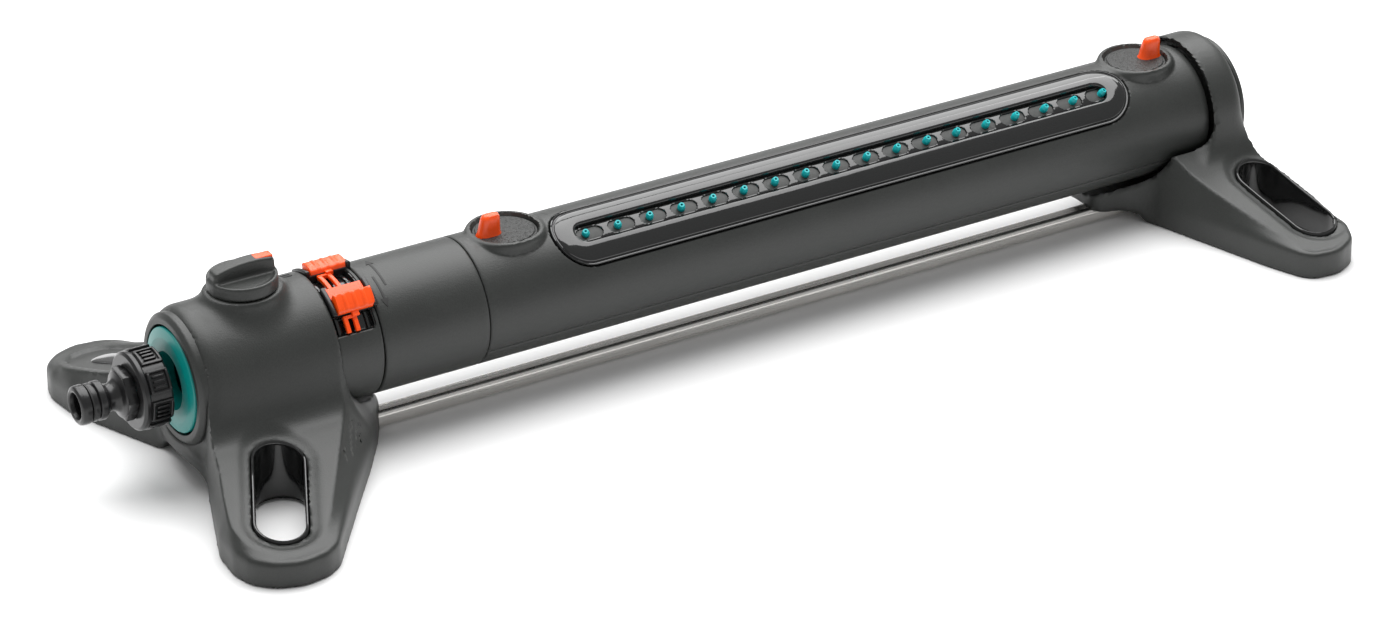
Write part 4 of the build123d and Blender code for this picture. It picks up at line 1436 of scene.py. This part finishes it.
@dataclass
class FlowKnob:
    """Flow control knob: a lipped disc with a thumb fin rising towards the tube."""

    radius: float = 14.4
    low: float = 32.5
    step: float = 0.5

    def solid(self, x: Array, y: Array, z: Array) -> Array:
        """Field of the knob: disc and fin blended, with the rim lip standing proud.

        Args:
            x: along the axis.
            y: front to back.
            z: height.

        Returns:
            The field, negative inside.
        """
        u = x - PLACE.knob_x
        r = np.hypot(u, y)
        disc = smooth_max(r - self.radius, np.abs(z - self.low - 2.6) - 2.6, 1.4)
        lip = np.hypot(r - self.radius + 1.0, z - self.low - 5.0) - 0.75
        disc = smooth_min(disc, lip, 0.6)
        crest = self.low + 11.9 - 0.0095 * (u - 3.0) ** 2
        fin = smooth_max(np.abs(y) - 3.7 - 0.01 * (u + 13) + 0.05 * (z - self.low), z - crest, 1.2)
        fin = smooth_max(fin, np.abs(u) - 13.3, 1.6)
        fin = np.maximum(fin, self.low - z)
        return np.maximum(smooth_min(disc, fin, 1.6), self.low - z)

    def build(self) -> None:
        """Makes the knob."""
        box = (PLACE.knob_x - 16.5, -16.5, self.low - 1.5), (PLACE.knob_x + 16.5, 16.5, self.low + 18)
        make_piece("knob_body", net_surface(self.solid, *box, self.step), FINISH.shell, "flow_valve", ["flow_knob"], 50)
        z = self.low + 11.0
        mark = rounded_block((PLACE.knob_x + 5.2, -2.3, z - 1.6), (PLACE.knob_x + 13.0, 2.3, z + 0.95), 0.6)
        make_piece("knob_mark", mark, FINISH.orange, "flow_valve", ["knob_marker"])


@dataclass
class HoseEnd:
    """Filter ring, union nut with its grips and the hose nipple; they pull out together."""

    nut_r: float = 15.5
    nipple_r: float = 8.1
    grips: int = 8

    def ring(self) -> Surface:
        """Teal ring with a bevelled face."""
        x = PLACE.nut_x1 + 4.7
        return lathe([(x, 12.0), (x, 17.6), (x + 0.9, 21.8), (x + 8, 21.8), (x + 8, 12.0)], [0.3, 1.0, 0.8, 0.3, 0.3], 160)

    def nut(self) -> Surface:
        """Nut body: flat front disc with an edge, then a waist, then a rear rim."""
        a, b, r = PLACE.nut_x0, PLACE.nut_x1, self.nut_r
        return lathe([(a, 9.6), (a, r - 0.4), (a + 1.0, r + 0.7), (a + 2.6, r + 0.7), (a + 3.0, r), (b - 1.0, r),
                      (b, r - 0.6), (b, 13.4), (a + 3.0, 13.4), (a + 2.6, 9.6)], 0.45, 160)

    def grip_frames(self) -> Surface:
        """Raised rectangular frames round the nut, each with three ribs."""
        a, b = PLACE.nut_x0 + 3.4, PLACE.nut_x1 - 0.5
        low, high = self.nut_r - 0.8, self.nut_r + 1.0
        parts: List[Surface] = []
        for k in range(self.grips):
            phi = 360.0 / self.grips * k + 12.0
            for side in (-15.0, 15.0):
                parts.append(rounded_block((a, phi + side - 1.9, low), (b, phi + side + 1.9, high), 0.5, 6))
            for x in (a, b - 1.3):
                parts.append(rounded_block((x, phi - 15, low), (x + 1.3, phi + 15, high), 0.5, 8))
            for rib in (-7.4, 0.0, 7.4):
                parts.append(rounded_block((a + 1.9, phi + rib - 1.7, low), (b - 1.9, phi + rib + 1.7, high - 0.1), 0.5, 6))
        return wrapped(joined(parts))

    def nipple(self) -> Surface:
        """Turned nipple: lip, seal groove, ridge, waist and flared foot, bored through."""
        t, r = PLACE.nipple_tip, self.nipple_r
        line = [(t + 0.4, 5.6), (t, 6.6), (t + 0.7, r - 0.2), (t + 2.2, r), (t + 4.4, r), (t + 4.7, r - 1.4), (t + 5.3, r - 1.4),
                (t + 5.6, r - 0.3), (t + 7.2, r - 0.3), (t + 7.5, r - 1.4), (t + 8.1, r - 1.4), (t + 8.5, r - 0.1),
                (t + 11.2, r - 0.1), (t + 12.8, r - 2.2), (t + 15.2, r - 2.6), (t + 17.4, r - 1.2), (t + 18.6, r + 1.6),
                (t + 23.0, r + 1.9), (t + 23.0, 5.2), (t + 2.0, 5.2)]
        return lathe(line, [0.4, 0.6, 1.0, 0.8, 0.5] + [0.3] * 6 + [0.5, 0.8, 2.0, 2.4, 1.6, 1.0, 0.4, 0.3, 0.6], 96)

    def foot(self) -> Surface:
        """Six-sided foot of the nipple: radius a / cos(angle from the nearest flat's middle)."""
        t = PLACE.nipple_tip
        x = np.array([t + 18.9, t + 19.1, t + 19.6, t + 22.4, t + 22.8, t + 23.0])
        phi = np.arange(0, 360, 2.0)
        flat = (self.nipple_r + 1.7) / np.cos(np.radians((phi + 30) % 60 - 30))
        lip = np.array([-0.7, -0.2, 0, 0, -0.2, -0.7])[:, None]
        outer = np.minimum(flat, self.nipple_r + 3.1)[None, :] + lip
        return tube_skin(x, phi, outer, np.full_like(outer, 6.0), True)

    def build(self) -> None:
        """Makes the ring, the nut and the nipple."""
        make_piece("filter_ring_face", self.ring(), FINISH.teal, "filter_unit", ["filter_ring"])
        make_piece("nut_body", self.nut() + self.grip_frames(), FINISH.black, "filter_unit", ["union_nut"])
        make_piece("nipple_body", self.nipple() + self.foot(), FINISH.black, "filter_unit", ["hose_nipple"])


@dataclass
class DriveSleeve:
    """Sleeve between the limit ring and the tube, with two swing arrows."""

    def skin(self) -> Surface:
        """Radius field with soft ends."""
        x0, x1 = PLACE.sleeve_x0, PLACE.tube_x0 - 0.3
        x = np.concatenate([[x0, x0 + 0.2, x0 + 0.5, x0 + 1.0], np.linspace(x0 + 3, x1 - 3, 12),
                            [x1 - 1.0, x1 - 0.5, x1 - 0.2, x1]])
        phi = np.arange(0, 360, 2.5)
        edge = np.minimum(x - x0, x1 - x)[:, None]
        outer = TUBE_R + 0 * phi[None, :] - 0.6 * (1 - np.clip(edge / 1.0, 0, 1)) ** 2
        return tube_skin(x, phi, outer, np.full_like(outer, TUBE_R - 2.4), True)

    def arrows(self) -> Surface:
        """Two opposed arrows along the swing."""
        x = PLACE.sleeve_x0 + 4.9
        return joined([
            stroke((x + 3.1, 29), (x + 3.1, -2), 0.9, 0.9, TUBE_R), stroke((x + 3.1, -1), (x + 3.1, -9), 3.4, 0.2, TUBE_R),
            stroke((x, 17), (x, 42), 0.9, 0.9, TUBE_R), stroke((x, 41), (x, 49), 3.4, 0.2, TUBE_R)])

    def build(self) -> None:
        """Makes the sleeve and its arrows."""
        make_piece("sleeve_skin", self.skin(), FINISH.shell, "tube", ["drive_sleeve"])
        make_piece("swing_arrows", self.arrows(), FINISH.print, "tube")


# ------------------------------------------------------------------ stage
def camera() -> None:
    """Sets up the long lens view from the front left."""
    a, e, roll = math.radians(30.96), math.radians(27.32), math.radians(-0.505)
    ahead = Vector((math.sin(a) * math.cos(e), math.cos(a) * math.cos(e), -math.sin(e)))
    right = Vector((math.cos(a), -math.sin(a), 0))
    up = right.cross(ahead)
    r = right * math.cos(roll) + up * math.sin(roll)
    u = up * math.cos(roll) - right * math.sin(roll)
    data = bpy.data.cameras.new("camera")
    data.sensor_width, data.lens = 36.0, 122.55
    data.clip_start, data.clip_end = 0.05, 20.0
    cam = bpy.data.objects.new("camera", data)
    bpy.context.scene.collection.objects.link(cam)
    cam.matrix_world = Matrix(((r.x, u.x, -ahead.x, PLACE.knob_x / 1000 - 0.7096), (r.y, u.y, -ahead.y, -1.5345),
                               (r.z, u.z, -ahead.z, 0.9294), (0, 0, 0, 1)))
    bpy.context.scene.camera = cam


def lamp(name: str, place: Tuple[float, float, float], aim: Tuple[float, float, float],
         size: Tuple[float, float], watts: float) -> None:
    """A soft rectangular light.

    Args:
        name: its name.
        place: where it hangs.
        aim: what it faces.
        size: its width and height.
        watts: its power.
    """
    data = bpy.data.lights.new(name, "AREA")
    data.shape, data.size, data.size_y, data.energy = "RECTANGLE", size[0], size[1], watts
    obj = bpy.data.objects.new(name, data)
    obj.location = place
    obj.rotation_euler = (Vector(aim) - Vector(place)).to_track_quat("-Z", "Y").to_euler()
    bpy.context.scene.collection.objects.link(obj)


def studio() -> None:
    """White room: pale floor, bright world, one large light overhead and a strip behind."""
    world = bpy.data.worlds.new("room")
    world.use_nodes = True
    world.node_tree.nodes["Background"].inputs["Color"].default_value = (1, 1, 1, 1)
    world.node_tree.nodes["Background"].inputs["Strength"].default_value = 0.42
    bpy.context.scene.world = world
    bpy.context.scene.view_settings.view_transform = "Standard"
    lamp("overhead", (0.1, 0.35, 1.5), (0, 0, 0), (2.2, 1.4), 44)
    lamp("strip", (0.6, 1.0, 0.95), (0, 0, 0), (2.0, 0.5), 12)
    mesh = bpy.data.meshes.new("floor")
    mesh.from_pydata([(-6, -6, 0), (6, -6, 0), (6, 6, 0), (-6, 6, 0)], [], [(0, 1, 2, 3)])
    floor = bpy.data.objects.new("floor", mesh)
    bpy.context.scene.collection.objects.link(floor)
    g = Graph("pale_floor")
    tone = g.noise(g.where(), 3.0, 2.0)
    mesh.materials.append(g.finish({"IOR": 1.4}, {"Base Color": g.tint(tone, (0.90, 0.90, 0.90), (0.93, 0.93, 0.93)),
                                                  "Roughness": tone * 0.1 + 0.6}))


def main() -> None:
    """Builds every sub-assembly and the stage."""
    logging.basicConfig(level=logging.INFO, format="%(name)s %(message)s")
    camera()
    studio()
    InletStand().build()
    EndStand().build()
    SwingTube().build()
    FanDial(PLACE.dial_left, "zoom_dial_left", "left_zoom", "zoom_lever_left", -1).build()
    FanDial(PLACE.dial_right, "zoom_dial_right", "right_zoom", "zoom_lever_right", 1).build()
    Collar().build()
    FlowKnob().build()
    HoseEnd().build()
    DriveSleeve().build()
    dress(FINISH.shell, "end_cap")
    dress(FINISH.inner, "end_bearing", "output_gear")
    dress(FINISH.bar, "base_bar")
    dress(FINISH.screw, "inlet_stand_screws", "end_stand_screws")
    dress(FINISH.seal, "filter_seal", "nipple_seal", "inlet_washer", "spindle_seal")
    dress(FINISH.mesh, "filter_screen")
    dress(FINISH.inner, "valve_spindle", "valve_body", "valve_plug", "motor_housing", "turbine_wheel",
          "reduction_gear", "water_tube", "zoom_slide_left", "zoom_slide_right")
    dress(FINISH.jet, *[f"nozzle_{k:02d}" for k in range(1, 19)])


if __name__ == "__main__":
    main()
